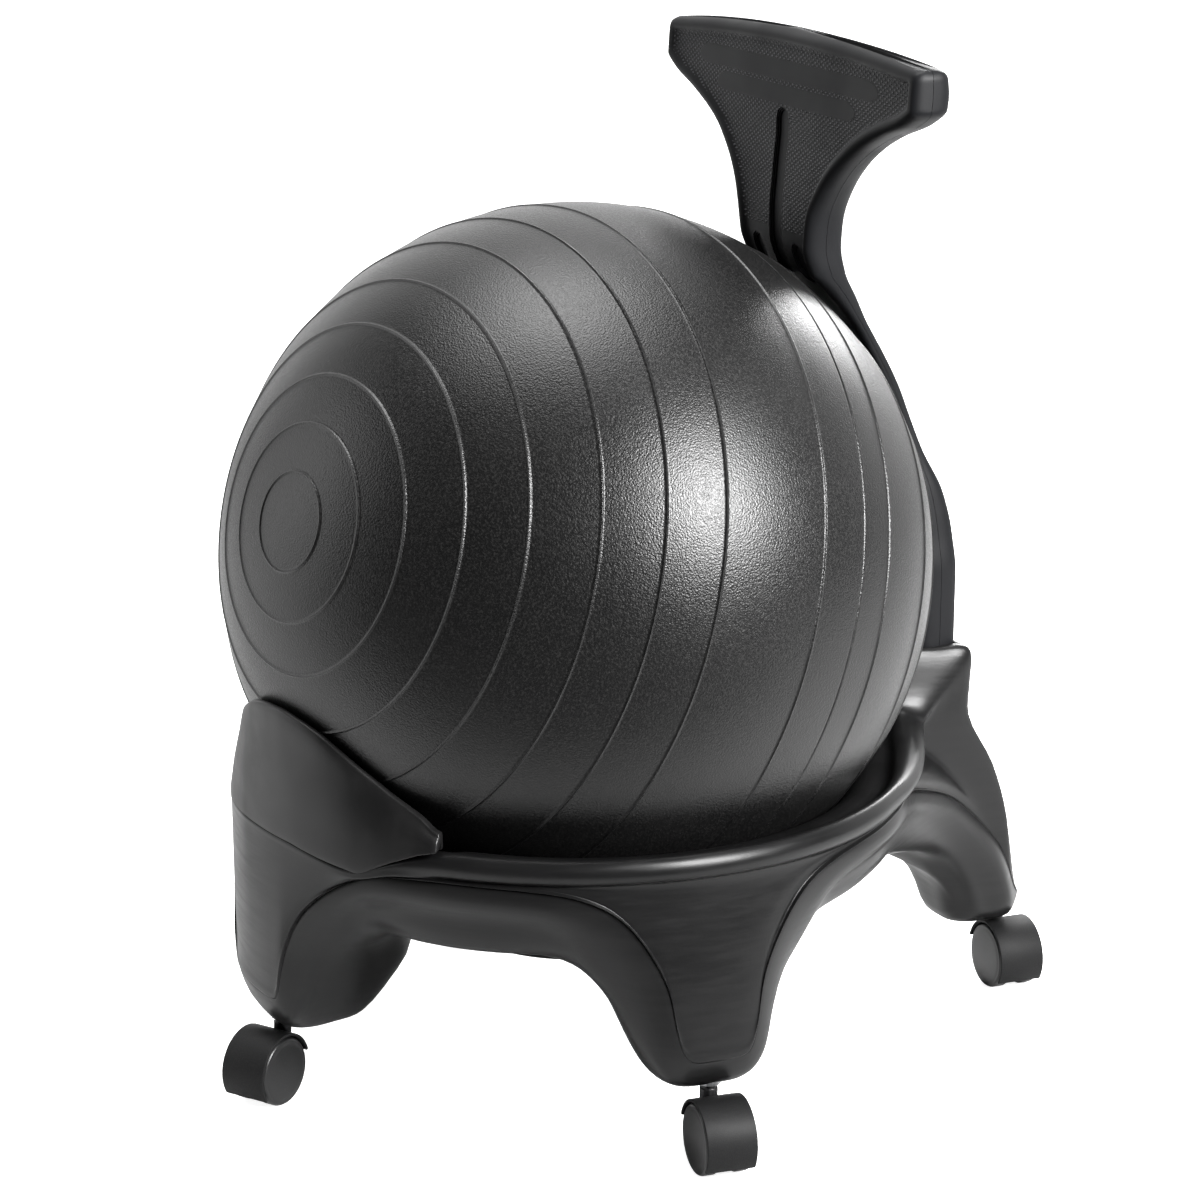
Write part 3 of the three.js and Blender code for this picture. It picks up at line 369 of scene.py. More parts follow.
def base_material():
    paint = Paint("base_moulded_plastic", (0.0055, 0.0055, 0.0058), 0.34, specular=0.3)
    streaks = paint.noise(14, 4, 0.6, paint.stretched((1.6, 1.6, 14), (0.12, 0.1, 0)))
    clouds = paint.noise(9, 3)
    colour = paint.tones(streaks, 0.35, 0.7, (0.0048, 0.0048, 0.005), (0.0072, 0.0071, 0.0073))
    paint.colour(paint.tones(clouds, 0.3, 0.75, colour, (0.0066, 0.0065, 0.0067), 0.5))
    scuffs = paint.ramp(streaks, 0.3, 0.75, 0.3, 0.38)
    paint.roughness(paint.math("ADD", scuffs, paint.ramp(clouds, 0.3, 0.7, -0.03, 0.04)))
    paint.bump(streaks, 0.0001, 0.5)
    paint.bump(paint.noise(900, 2), 0.00005, 0.5)
    return paint.material


def pommel_material():
    paint = Paint("pommel_plastic", (0.008, 0.0079, 0.0081), 0.4, specular=0.42)
    clouds = paint.noise(22, 4, 0.6)
    paint.colour(paint.tones(clouds, 0.35, 0.7, (0.0068, 0.0067, 0.0069), (0.011, 0.0107, 0.0108)))
    paint.roughness(paint.ramp(clouds, 0.3, 0.7, 0.36, 0.47))
    paint.bump(paint.noise(1100, 2), 0.00005, 0.5)
    return paint.material


KNURL_ACROSS = 6.4  # pitch of the diamonds, in millimetres
KNURL_UP = 3.7


def back_material():
    """Plain black plastic, with diamonds in relief where the piece's field is above zero; the diamonds
    are painted pale, a painted highlight on their tips.
    """
    paint = Paint("back_plastic", (0.0065, 0.0067, 0.0076), 0.5, specular=0.2)
    field = paint.node("ShaderNodeAttribute", attribute_name="field").outputs["Fac"]
    parts = paint.node("ShaderNodeSeparateXYZ", {0: paint.place})
    across = paint.math("MULTIPLY", parts.outputs["X"], 2 * math.pi / (KNURL_ACROSS * MM))
    up = paint.math("MULTIPLY", parts.outputs["Z"], 2 * math.pi / (KNURL_UP * MM))
    dots = []
    for operation in ("ADD", "SUBTRACT"):
        wave = paint.math("COSINE", paint.math(operation, across, up))
        dots.append(paint.ramp(wave, -0.5, 0.9, 0, 1))
    knurl_and_highlight = paint.math("MULTIPLY", paint.math("MULTIPLY", *dots), paint.ramp(field, -0.3, 0.3, 0, 1))
    clouds = paint.noise(16, 3)
    plain = paint.tones(clouds, 0.3, 0.7, (0.0052, 0.0054, 0.0063), (0.0072, 0.0074, 0.0086))
    # The diamonds are painted pale as a painted highlight on their tips, on top of their relief.
    paint.colour(paint.mix(paint.math("MULTIPLY", knurl_and_highlight, 0.9), plain, (0.115, 0.116, 0.126)))
    paint.roughness(paint.ramp(clouds, 0.3, 0.7, 0.44, 0.56))
    paint.bump(knurl_and_highlight, 0.0013, 1.0)
    paint.bump(paint.noise(800, 2), 0.00006, 0.6)
    return paint.material


def vinyl_material():
    paint = Paint("ball_vinyl", (0.01, 0.01, 0.01), 0.36, specular=0.45)
    grain = paint.noise(620, 3, 0.6)
    clouds = paint.noise(7, 3)
    colour = paint.tones(grain, 0.45, 0.72, (0.0045, 0.0045, 0.0046), (0.0145, 0.0142, 0.0139))
    paint.colour(paint.tones(clouds, 0.35, 0.7, colour, (0.008, 0.0078, 0.0077), 0.35))
    gloss = paint.ramp(grain, 0.35, 0.7, 0.3, 0.42)
    paint.roughness(paint.math("ADD", gloss, paint.ramp(clouds, 0.3, 0.7, -0.02, 0.03)))
    paint.bump(paint.cells(760), 0.0003, 0.55)
    paint.bump(grain, 0.00032, 0.5)
    return paint.material


def nylon_material(name, rough, texture, specular):
    paint = Paint(name, (0.007, 0.007, 0.0073), rough, specular=specular)
    grain = paint.noise(1300 if texture > 0.5 else 900, 2)
    paint.colour(paint.tones(grain, 0.4, 0.7, (0.0052, 0.0052, 0.0055), (0.0098, 0.0098, 0.01)))
    paint.roughness(paint.ramp(paint.noise(30, 3), 0.3, 0.7, rough - 0.04, rough + 0.05))
    paint.bump(grain, 0.00012 * texture, 0.8)
    return paint.material


def metal_material(name, colour, rough):
    paint = Paint(name, colour, rough, metallic=1.0)
    brushed = paint.noise(500, 3, 0.5, paint.stretched((1, 1, 0.08)))
    paint.colour(paint.tones(brushed, 0.35, 0.7, tuple(0.72 * c for c in colour), colour))
    paint.roughness(paint.ramp(brushed, 0.3, 0.7, rough - 0.06, rough + 0.1))
    paint.bump(brushed, 0.00005, 0.5)
    return paint.material


base_plastic = base_material()
pommel_plastic = pommel_material()
back_plastic = back_material()
ball_vinyl = vinyl_material()
hood_nylon = nylon_material("hood_nylon", 0.56, 1.0, 0.2)
wheel_nylon = nylon_material("wheel_nylon", 0.36, 0.3, 0.55)
plug_nylon = nylon_material("plug_nylon", 0.45, 0.4, 0.36)
steel = metal_material("steel", (0.46, 0.47, 0.48), 0.34)
black_steel = metal_material("black_steel", (0.07, 0.07, 0.072), 0.42)


def dress(obj, material):
    obj.data.materials.clear()
    obj.data.materials.append(material)


def finish_piece(obj, material, body, slot, *nodes):
    """Gives a piece its material and body, and hides the CAD nodes that it stands for; the slot is not
    used.
    """
    dress(obj, material)
    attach(obj, body)
    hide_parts(*nodes)


# Base
BALL_RADIUS = 257
BALL_HEIGHT = 374.4
SEAT_GAP = 0.3
DISH = Sizes(clearance=1.5, hole=60, hub=90, hub_height=100, thickness=18.5, contact=185)
RIM = Sizes(
    height=228, radius=238, half_width=6.5, rear_half_width=14.5, bead=17, inner_drop=9, inner_radius=209,
)
RIDGE = Sizes(arch_height=206, arch_radius=241, foot_height=64, bead_width=8, bead_rise=2.6)
GROOVE = Sizes(half_width=1.1, depth=0.6, lip=0.6)
FOOT = Sizes(bottom=54.5, round=5, fullness=4)
POMMEL = Sizes(
    half_turn=44, crest=307, tip=232, tip_lift=1.2, outer=256, tip_outer=247, ball_gap=3,
    crest_gap=1.6, wall=3.6, top=5.2, foot_edge=0.3, foot_round=0.6, shoulder_lip=0.2, crest_round=0.8,
    peg_radius=4, peg_depth=10, peg_turn=24, peg_inset=20,
)
SHELF = Sizes(middle=214, dip=203.5, edge=1.1, drop=5)
SOCKET = Sizes(top=290, bottom=236, rear=300, lip_drop=5, ball_gap=3, floor=243)
LEGS = [
    Sizes(name="front", heading=-90, reach=253, panel=256, inset=23, trail=-56, bulge=0),
    Sizes(name="right", heading=0, reach=250, panel=239, inset=19, trail=-5, bulge=0),
    Sizes(name="rear", heading=90, reach=373, panel=292, inset=14, trail=-2, bulge=11),
    Sizes(name="left", heading=180, reach=250, panel=239, inset=19, trail=180, bulge=0),
]
# Eleven columns run round half of a leg, from its middle to the middle of the arch beside it. Turns are
# degrees from the leg's heading, reaches shares of the leg's reach, and heights shares of the arch's
# height, but ridge_height goes from the foot of the ridge line to its height over the arch.
SIDE_COLUMNS = {
    "top_turn": [0, 3, 5.5, 8, 10.5, 13, 17, 22, 29, 37, 45],
    "ridge_turn": [0, 3, 4.9, 6.1, 7, 8, 11.3, 17, 25.4, 35, 45],
    "ridge_height": [0.107, 0.107, 0.119, 0.165, 0.26, 0.45, 0.67, 0.88, 0.98, 1, 1],
    "side_turn": [0, 3.9, 6.9, 9.5, 11.4, 13.9, 16.7, 21, 27.5, 36, 45],
    "side_reach": [0.888, 0.89, 0.894, 0.896, 0.89, 0.882, 0.877, 0.892, 0.912, 0.916, 0.916],
    "side_height": [0.265, 0.265, 0.277, 0.316, 0.369, 0.466, 0.573, 0.68, 0.825, 0.859, 0.859],
    "edge_turn": [0, 4.3, 7.6, 9.9, 12.1, 14.5, 18.2, 23.6, 31, 38, 45],
    "edge_reach": [0.752, 0.754, 0.758, 0.763, 0.744, 0.719, 0.716, 0.777, 0.824, 0.848, 0.86],
    "edge_height": [0.291, 0.291, 0.301, 0.33, 0.388, 0.471, 0.592, 0.67, 0.718, 0.728, 0.728],
    "wall_reach": [0.64, 0.64, 0.64, 0.644, 0.648, 0.648, 0.66, 0.704, 0.744, 0.76, 0.76],
    "wall_height": [0.544, 0.544, 0.544, 0.544, 0.549, 0.563, 0.631, 0.709, 0.743, 0.748, 0.748],
    "under_reach": [0.6, 0.6, 0.6, 0.6, 0.6, 0.6, 0.61, 0.62, 0.64, 0.65, 0.65],
}
FRONT_COLUMNS = {
    **SIDE_COLUMNS,
    "ridge_turn": [0, 4.5, 7.6, 9.3, 10.3, 10.9, 12, 15.8, 25.7, 35, 45],
    "ridge_height": [0.155, 0.158, 0.16, 0.165, 0.21, 0.3, 0.44, 0.663, 0.9, 0.985, 1],
    "edge_reach": [0.7, 0.7, 0.705, 0.715, 0.71, 0.7, 0.705, 0.777, 0.824, 0.848, 0.86],
    "wall_reach": [0.585, 0.585, 0.585, 0.588, 0.593, 0.603, 0.64, 0.7, 0.744, 0.76, 0.76],
    "wall_height": [0.47, 0.47, 0.47, 0.478, 0.495, 0.525, 0.61, 0.705, 0.743, 0.748, 0.748],
    "under_reach": [0.55, 0.55, 0.55, 0.55, 0.555, 0.56, 0.59, 0.62, 0.64, 0.65, 0.65],
}
REAR_COLUMNS = {
    "top_turn": [0, 3, 6, 8.8, 10.4, 13, 17, 22, 29, 37, 45],
    "ridge_turn": [0, 2, 3.3, 4.1, 4.8, 5.5, 7.6, 12.4, 25.7, 35, 45],
    "ridge_height": [0.05, 0.053, 0.07, 0.12, 0.26, 0.41, 0.61, 0.8, 0.965, 1, 1],
    "side_turn": [0, 2.4, 4.3, 6, 6.8, 7.8, 9.5, 13.6, 24, 35, 45],
    "side_reach": [0.898, 0.898, 0.9, 0.898, 0.883, 0.852, 0.812, 0.753, 0.683, 0.645, 0.616],
    "side_height": [0.265, 0.265, 0.277, 0.32, 0.408, 0.505, 0.621, 0.738, 0.854, 0.88, 0.859],
    "edge_turn": [0, 2.4, 4.3, 5.5, 6.3, 7.1, 8.6, 13.5, 25, 35, 45],
    "edge_reach": [0.815, 0.818, 0.828, 0.84, 0.833, 0.807, 0.769, 0.713, 0.645, 0.618, 0.578],
    "edge_height": [0.291, 0.291, 0.301, 0.34, 0.417, 0.505, 0.583, 0.65, 0.709, 0.762, 0.728],
    "wall_reach": [0.772, 0.772, 0.772, 0.768, 0.757, 0.742, 0.715, 0.66, 0.602, 0.559, 0.511],
    "wall_height": [0.476, 0.476, 0.48, 0.49, 0.51, 0.54, 0.59, 0.69, 0.748, 0.767, 0.748],
    "under_reach": [0.46, 0.46, 0.46, 0.46, 0.46, 0.46, 0.46, 0.46, 0.455, 0.45, 0.437],
}
# How far the ridge line and the sections have gone over from the leg to the arch at each column
RIDGE_BLEND = [0, 0, 0.02, 0.05, 0.07, 0.1, 0.26, 0.5, 1, 1, 1]
ARCH_BLEND = [0, 0, 0, 0, 0, 0, 0, 0.05, 0.35, 0.75, 1]
# Reach and height of the edges over an arch, and the reach of its underside
FRONT_ARCH = {"side": (229, 177), "edge": (215, 150), "wall": (190, 154), "under": 162}
REAR_ARCH = {"side": (236, 186), "edge": (226, 164), "wall": (200, 161), "under": 165}
# Size of the bead beside the ridge line at each column
BEAD_SIZES = [0.1, 0.1, 0.12, 0.16, 0.25, 0.4, 0.7, 1, 1, 1, 1]
MID_ARCH = 10
DISH_SHARES = (0, 0.28, 0.56, 0.8, 1)
# Places round the rim's bead, as shares of its half width and of its depth
BEAD_SHARES = [
    (-0.85, 0.4), (-0.35, 0.07), (0.3, 0.03), (0.9, 0.25), (1.15, 0.6), (0.75, 0.95), (0.2, 1.15),
]
# Where the pommel's ledge dips, climbs to the rim, and how far down its outer edge reaches
SHELF_TURNS = [0, 15, 22, 30, 36, 41, 45]
SHELF_DIPS = [0, 0.28, 0.66, 1, 1, 1, 1]
SHELF_CLIMBS = [0, 0, 0, 0, 0.5, 0.84, 1]
SHELF_DROPS = [SHELF.drop] * 4 + [8, 13, RIM.bead]
# Where the rim climbs to the socket: shares of the way to the socket's top and rear, and to full width
CLIMB_TURNS = [10.4, 13, 16, 20, 26, 36, 45]
CLIMB_HEIGHTS = [0.42, 0.34, 0.25, 0.16, 0.05, 0, 0]
CLIMB_RADII = [0.2, 0.15, 0.1, 0.06, 0.02, 0, 0]
CLIMB_WIDTHS = [1, 1, 1, 1, 0.9, 0.4, 0]


def ball_reach(height, clearance):
    return math.sqrt(max((BALL_RADIUS + clearance) ** 2 - (height - BALL_HEIGHT) ** 2, 0))


def ball_underside(reach, clearance):
    return BALL_HEIGHT - math.sqrt((BALL_RADIUS + clearance) ** 2 - reach ** 2)


def polar(turn, reach, height):
    turn = math.radians(turn)
    return np.array([reach * math.cos(turn), reach * math.sin(turn), height])


def shelf_height(turn):
    """Height of the ledge that the pommel stands on, which climbs to the rim at its ends."""
    floor = lerp(SHELF.middle, SHELF.dip, np.interp(turn, SHELF_TURNS, SHELF_DIPS))
    return lerp(floor, RIM.height, np.interp(turn, SHELF_TURNS, SHELF_CLIMBS))


def pommel_outer(turn):
    outer, tip = POMMEL.outer, POMMEL.tip_outer
    return np.interp(turn, [0, 30, 45], [outer, lerp(outer, tip, 0.75), tip])


def plain_rim(height, radius, half_width):
    """Rolled rim, from its inner edge by the ball over the bead to its lower outer edge."""
    inner_height = height - RIM.inner_drop
    inner = max(RIM.inner_radius, ball_reach(inner_height, SOCKET.ball_gap))
    bead = [(radius + out * half_width, height - down * RIM.bead) for out, down in BEAD_SHARES]
    return [(inner, inner_height)] + bead


def shelf_rim(turn):
    height, outer, edge = shelf_height(turn), pommel_outer(turn), SHELF.edge
    inner = ball_reach(height, POMMEL.ball_gap)
    low = height - RIM.bead
    drop = np.interp(turn, SHELF_TURNS, SHELF_DROPS)
    return [
        (ball_reach(low, POMMEL.ball_gap), low),
        *[(lerp(inner, outer - edge, share), height) for share in (0, 0.33, 0.66, 1)],
        (outer, height - edge), (outer, height - drop / 2), (outer - SEAT_GAP, height - drop),
    ]


def socket_rim(turn):
    """Flat top and outer wall of the block that holds the backrest's foot."""
    rear, top, drop = SOCKET.rear / math.cos(math.radians(turn)), SOCKET.top, SOCKET.lip_drop
    inner = ball_reach(top - drop, SOCKET.ball_gap)
    low = lerp(ball_underside(DISH.contact, DISH.clearance), top, 0.47)
    return [
        (ball_reach(low, SOCKET.ball_gap), low), (inner, top - drop), (inner + drop, top),
        (lerp(inner, rear, 0.5), top), (rear - drop, top), (rear, top - drop),
        (rear, (top + SOCKET.bottom) / 2), (rear, SOCKET.bottom),
    ]


def rim_section(leg, turn):
    if leg.name == "front" and turn < SHELF_TURNS[-1]:
        return shelf_rim(turn)
    if leg.name != "rear":
        return plain_rim(RIM.height, RIM.radius, RIM.half_width)
    if turn <= CLIMB_TURNS[0]:
        return socket_rim(turn)
    height = lerp(RIM.height, SOCKET.top, np.interp(turn, CLIMB_TURNS, CLIMB_HEIGHTS))
    radius = lerp(RIM.radius, SOCKET.rear, np.interp(turn, CLIMB_TURNS, CLIMB_RADII))
    wide = np.interp(turn, CLIMB_TURNS, CLIMB_WIDTHS)
    return plain_rim(height, radius, lerp(RIM.half_width, RIM.rear_half_width, wide))


def columns_of(leg):
    return {"front": FRONT_COLUMNS, "rear": REAR_COLUMNS}.get(leg.name, SIDE_COLUMNS)


def ridge_point(leg, j):
    columns = columns_of(leg)
    height = lerp(RIDGE.foot_height, RIDGE.arch_height, columns["ridge_height"][j])
    top = SOCKET.bottom if leg.name == "rear" else RIM.height - RIM.bead
    share = min(max((top - height) / (top - RIDGE.foot_height), 0), 1)
    face = lerp(leg.panel, leg.reach, share) + leg.bulge * math.sin(math.pi * share)
    return polar(columns["ridge_turn"][j], lerp(face, RIDGE.arch_radius, RIDGE_BLEND[j]), height)


def half_leg_section(leg, arch, j):
    """Closed section of the base at one column of a half leg, drawn with the leg along +X."""
    columns = columns_of(leg)
    turn, blend = columns["top_turn"][j], ARCH_BLEND[j]

    def corner(name, turns):
        reach = lerp(leg.reach * columns[name + "_reach"][j], arch[name][0], blend)
        height = lerp(RIDGE.arch_height * columns[name + "_height"][j], arch[name][1], blend)
        return polar(columns[turns][j], reach, height)

    def below_ball(reaches, gap):
        return [polar(turn, reach, ball_underside(reach, gap)) for reach in reaches]

    dish = below_ball([lerp(DISH.hole, DISH.contact, share) for share in DISH_SHARES], DISH.clearance)
    rim = [polar(turn, reach, height) for reach, height in rim_section(leg, turn)]
    top, crest = rim[-1], ridge_point(leg, j)
    side, edge = corner("side", "side_turn"), corner("edge", "edge_turn")
    wall = corner("wall", "edge_turn")
    width = min(RIDGE.bead_width, 0.75 * np.linalg.norm(top - crest))
    foot = crest + unit(top - crest) * width
    outward = polar(columns["ridge_turn"][j], 1, 0)
    rise = outward * RIDGE.bead_rise * BEAD_SIZES[j] * (0.4 + 0.6 * width / RIDGE.bead_width)
    bulge = outward * leg.bulge * (1 - RIDGE_BLEND[j])
    panel = [lerp(top, foot, share) + bulge * math.sin(math.pi * share) for share in (0.33, 0.67)]
    if j in (0, MID_ARCH):
        run = polar(columns["ridge_turn"][j] + 90, 1, 0)
    else:
        run = ridge_point(leg, j + 1) - ridge_point(leg, j - 1)
    normal = unit(np.cross(edge - crest, run))
    fullness = FOOT.round + FOOT.fullness * (1 - BEAD_SIZES[j])
    reaches = [lerp(leg.reach * columns["under_reach"][j], arch["under"], blend)]
    reaches += [lerp(DISH.hub, DISH.contact, share) for share in (0.42, 0.05)]
    return [
        *dish, *rim, *panel, foot,
        lerp(foot, crest, 0.45) + rise,
        lerp(foot, crest, 0.7) + rise * 0.85,
        crest + unit(foot - crest) * GROOVE.half_width + rise * 0.35,
        crest - outward * GROOVE.depth,
        crest + unit(side - crest) * GROOVE.half_width + normal * GROOVE.lip,
        lerp(crest, side, 0.42) + normal * fullness,
        side,
        lerp(side, edge, 0.55) + normal * FOOT.round / 2,
        edge, wall,
        *below_ball(reaches, DISH.clearance + DISH.thickness),
        *[polar(turn, reach, DISH.hub_height) for reach in (DISH.hub, DISH.hole)],
    ]


def leg_section(leg, j, side):
    """Section of one half of a leg, turned to the leg's heading."""
    rearward = leg.name == "rear" or (leg.name, side) in (("right", 1), ("left", -1))
    points = np.array(half_leg_section(leg, REAR_ARCH if rearward else FRONT_ARCH, j))
    points[:, 1] *= side
    cosine, sine = math.cos(math.radians(leg.heading)), math.sin(math.radians(leg.heading))
    return points @ np.array([[cosine, sine, 0], [-sine, cosine, 0], [0, 0, 1]])


COLUMN_STEPS = 5
SECTION_STEPS = 4
SMOOTHINGS = 3


def base_points():
    """Grid of points of the base: one closed loop for each fine column."""
    loops, headings = [], []
    for leg in LEGS:
        turns = columns_of(leg)["top_turn"]
        halves = [(j, -1) for j in range(MID_ARCH - 1, 0, -1)] + [(j, 1) for j in range(MID_ARCH + 1)]
        for j, side in halves:
            loops.append(leg_section(leg, j, side))
            headings.append(leg.heading + side * turns[j])
    loops = np.array(loops)
    headings = np.array(headings)[:, None]
    turn = np.degrees(np.arctan2(loops[:, :, 1], loops[:, :, 0]))
    turn = headings + (turn - headings + 180) % 360 - 180
    reach = np.hypot(loops[:, :, 0], loops[:, :, 1])
    turn = np.radians(smooth_ring(turn, COLUMN_STEPS, 360))
    reach = smooth_ring(reach, COLUMN_STEPS, 0)
    height = smooth_ring(loops[:, :, 2], COLUMN_STEPS, 0)
    fine = np.stack([reach * np.cos(turn), reach * np.sin(turn), height], axis=2)
    for _ in range(SMOOTHINGS):
        fine = fine * 0.5 + (np.roll(fine, 1, axis=0) + np.roll(fine, -1, axis=0)) * 0.25
    return smooth_loops(fine, SECTION_STEPS)


def shifted(form, x=0.0, y=0.0, z=0.0):
    return form[0] + np.array([x, y, z]), form[1]


def rod(radius, bottom, top, x=0.0, y=0.0):
    return shifted(lathe([(0, bottom), (radius, bottom), (radius, top), (0, top)], steps=40), x, y)


def box_form(low, high):
    xs, ys, zs = zip(low, high)
    points = np.array([(x, y, z) for x in xs for y in ys for z in zs], float)
    faces = [(0, 1, 3, 2), (4, 6, 7, 5), (0, 4, 5, 1), (2, 3, 7, 6), (0, 2, 6, 4), (1, 5, 7, 3)]
    return points, faces


def lying(form):
    """Form about Z laid along Y, its top to the rear."""
    points, faces = form
    return np.stack([points[:, 0], points[:, 2], -points[:, 1]], axis=1), faces


def peg_place(side):
    """Place of a peg under the pommel, with its lower and upper end."""
    seat = shelf_height(POMMEL.peg_turn)
    reach = ball_reach(seat, POMMEL.ball_gap) + POMMEL.peg_inset
    place = polar(-90 + side * POMMEL.peg_turn, reach, 0)
    top = ball_underside(reach - POMMEL.peg_radius - POMMEL.ball_gap / 2, POMMEL.ball_gap)
    return place[0], place[1], seat - POMMEL.peg_depth, top


SLEEVE = Sizes(radius=8, top=79.5)
TONGUE = Sizes(half_width=45, front=262, rear=292)
BOLT = Sizes(radius=3, head_radius=5.5, head_height=4, length=20, spacing=40, height=265, drive=2.5)
OVERRUN = 4  # how far a cutter reaches past what it cuts


def make_base():
    loops = base_points()
    rows, columns = loops.shape[:2]
    base = build("base_shell", loops.reshape(-1, 3), grid_faces(rows, columns, True, True))
    forms = []
    for leg in LEGS:
        x, y, _ = polar(leg.heading, leg.reach - leg.inset, 0)
        forms.append(rod(SLEEVE.radius + SEAT_GAP, FOOT.bottom - OVERRUN, SLEEVE.top + SEAT_GAP, x, y))
    half = TONGUE.half_width + SEAT_GAP
    low = (-half, TONGUE.front - SEAT_GAP, SOCKET.floor)
    forms.append(box_form(low, (half, TONGUE.rear + SEAT_GAP, SOCKET.top + OVERRUN)))
    for side in (-1, 1):
        hole = lying(rod(BOLT.radius + SEAT_GAP, TONGUE.rear - OVERRUN, SOCKET.rear + OVERRUN))
        forms.append(shifted(hole, side * BOLT.spacing / 2, 0, BOLT.height))
        x, y, bottom, top = peg_place(side)
        forms.append(rod(POMMEL.peg_radius + SEAT_GAP, bottom - SEAT_GAP, top, x, y))
    cut(base, *[build("tool", *form) for form in forms])
    shade(base.data, sharp=50)
    finish_piece(base, base_plastic, "base", "base_plastic", "base_body")


# Pommel
POMMEL_ENDS = [(0.85, 0.7), (0.5, 1.1)]  # share of its size, and how far it stands out
CREST_TURNS = [-44, -36, -30, -20, -14, -8, -4, 0, 4, 9, 12.7, 17.6, 22, 26.6, 30.8, 35.3, 40.4, 44]
CREST_SHARES = [
    0, 0.02, 0.11, 0.32, 0.48, 0.64, 0.753, 0.853, 0.94,
    0.993, 1, 0.955, 0.875, 0.72, 0.552, 0.381, 0.234, 0.12,
]


def pommel_section(turn):
    """Closed section of the hollow pommel at a turn from straight ahead."""
    aside = abs(turn)
    tip = np.interp(aside, [30, POMMEL.half_turn], [0, 1])
    bottom = shelf_height(aside) + SEAT_GAP + tip * POMMEL.tip_lift
    top = lerp(POMMEL.tip, POMMEL.crest, float(monotone(CREST_TURNS, CREST_SHARES, [turn])[0]))
    middle, outer, wall = (bottom + top) / 2, pommel_outer(aside), POMMEL.wall

    def inner(height):
        gap = lerp(POMMEL.ball_gap, POMMEL.crest_gap, (height - bottom) / (top - bottom))
        return lerp(ball_reach(height, gap), RIM.radius - RIM.half_width / 2, tip)

    inner_top = inner(top)
    outer_top = inner_top + POMMEL.top * lerp(1, 1.5, tip)
    hollow = max(top - wall * 2, lerp(bottom, top, 0.3))
    inside = (bottom + hollow) / 2
    shoulder = top - min(POMMEL.top / 2, (top - middle) * 0.6)
    edge = lerp(top, shoulder, 0.25)
    low = bottom + min(POMMEL.foot_round, (middle - bottom) / 2)
    outline = [
        (outer - POMMEL.foot_edge, bottom), (outer, low),
        (lerp(outer, outer_top, 0.12), lerp(bottom, middle, 0.5)),
        (lerp(outer, outer_top, 0.3), middle),
        (lerp(outer, outer_top, 0.58), lerp(middle, shoulder, 0.5)),
        (outer_top + POMMEL.shoulder_lip, shoulder), (outer_top - POMMEL.crest_round, edge),
        (lerp(outer_top, inner_top, 0.5), top), (inner_top + POMMEL.crest_round, edge),
        (inner_top, shoulder), (inner(middle), middle), (inner(bottom), bottom),
        (inner(bottom) + wall, bottom), (inner(inside) + wall, inside),
        (lerp(inner_top, outer_top, 0.5), hollow), (outer - wall, bottom),
    ]
    return [polar(-90 + turn, reach, height) for reach, height in outline]


def make_pommel():
    half = POMMEL.half_turn
    sections = [pommel_section(turn) for turn in np.linspace(-half, half, 2 * half + 1)]
    loops = smooth_loops(np.array(sections), SECTION_STEPS)
    ends = []
    for loop, lean in ((loops[0], -1), (loops[-1], 1)):
        centre = loop.mean(axis=0)
        aside = unit(np.cross([0, 0, 1], [centre[0], centre[1], 0])) * lean
        ends.append([centre + (loop - centre) * size + aside * out for size, out in POMMEL_ENDS])
    loops = np.concatenate([ends[0][::-1], loops, ends[1]])
    rows, columns = loops.shape[:2]
    pommel = build("pommel_cover", loops.reshape(-1, 3), tube_faces(rows, columns))
    pegs = []
    for side in (-1, 1):
        x, y, bottom, top = peg_place(side)
        pegs.append(build("peg", *rod(POMMEL.peg_radius, bottom, top, x, y)))
    cut(pommel, *pegs, operation="UNION")
    shade(pommel.data, sharp=55)
    finish_piece(pommel, pommel_plastic, "base", "pommel_plastic", "front_pommel")


# Ball
RING_ANGLES = [
    7.7, 15.4, 23.7, 33.2, 42.9, 53.4, 63, 72.3, 90.3, 106.2, 121.6, 132, 141, 149.5, 157.5, 165, 172,
]
SEAM_ANGLE = 99.1
RING = Sizes(rise=0.95, half_width=1.35)
RING_PLACES = np.array([-1.6, -1, -0.6, -0.3, 0, 0.3, 0.6, 1, 1.6])  # as shares of the half width
RING_CLEAR = 1.9
BALL_STEPS = 130
VALVE = Sizes(
    radius=7, head_radius=11, head=1.2, length=9, bore=2, neck_depth=12, neck_wall=0.4, neck_lip=1.5,
    groove_low=1.8, groove=2.4, groove_high=3, groove_depth=0.7, gap=0.1, round=0.35,
)


def ring_share(angle, place):
    """Height of a raised ring at an angle from the ball's pole, as a share of its rise."""
    offset = abs(angle - math.radians(place)) * BALL_RADIUS / RING.half_width
    return 0.5 * (1 + math.cos(math.pi * offset)) if offset < 1 else 0


def ball_outline():
    """Half outline of the ball as (radius, height), from its front pole to the valve in its rear pole."""
    valve_angle = math.asin(VALVE.radius / BALL_RADIUS)
    angles = set(np.round(np.linspace(0, math.pi - valve_angle, BALL_STEPS), 6))
    width = RING.half_width / BALL_RADIUS
    for ring in RING_ANGLES + [SEAM_ANGLE]:
        centre = math.radians(ring)
        angles = {angle for angle in angles if abs(angle - centre) > RING_CLEAR * width}
        angles |= {round(centre + place * width, 6) for place in RING_PLACES}
    outline = []
    for angle in sorted(angles):
        rise = sum(ring_share(angle, ring) for ring in RING_ANGLES)
        radius = BALL_RADIUS + RING.rise * (rise - 0.35 - 0.7 * ring_share(angle, SEAM_ANGLE))
        outline.append((radius * math.sin(angle), radius * math.cos(angle)))
    outline[0] = (0.0, outline[0][1])
    pole = -math.sqrt(BALL_RADIUS ** 2 - VALVE.radius ** 2)
    neck, bottom = VALVE.radius - VALVE.neck_wall, pole + VALVE.neck_depth
    return outline + [(neck, pole + VALVE.neck_lip), (neck, bottom), (0.0, bottom)]


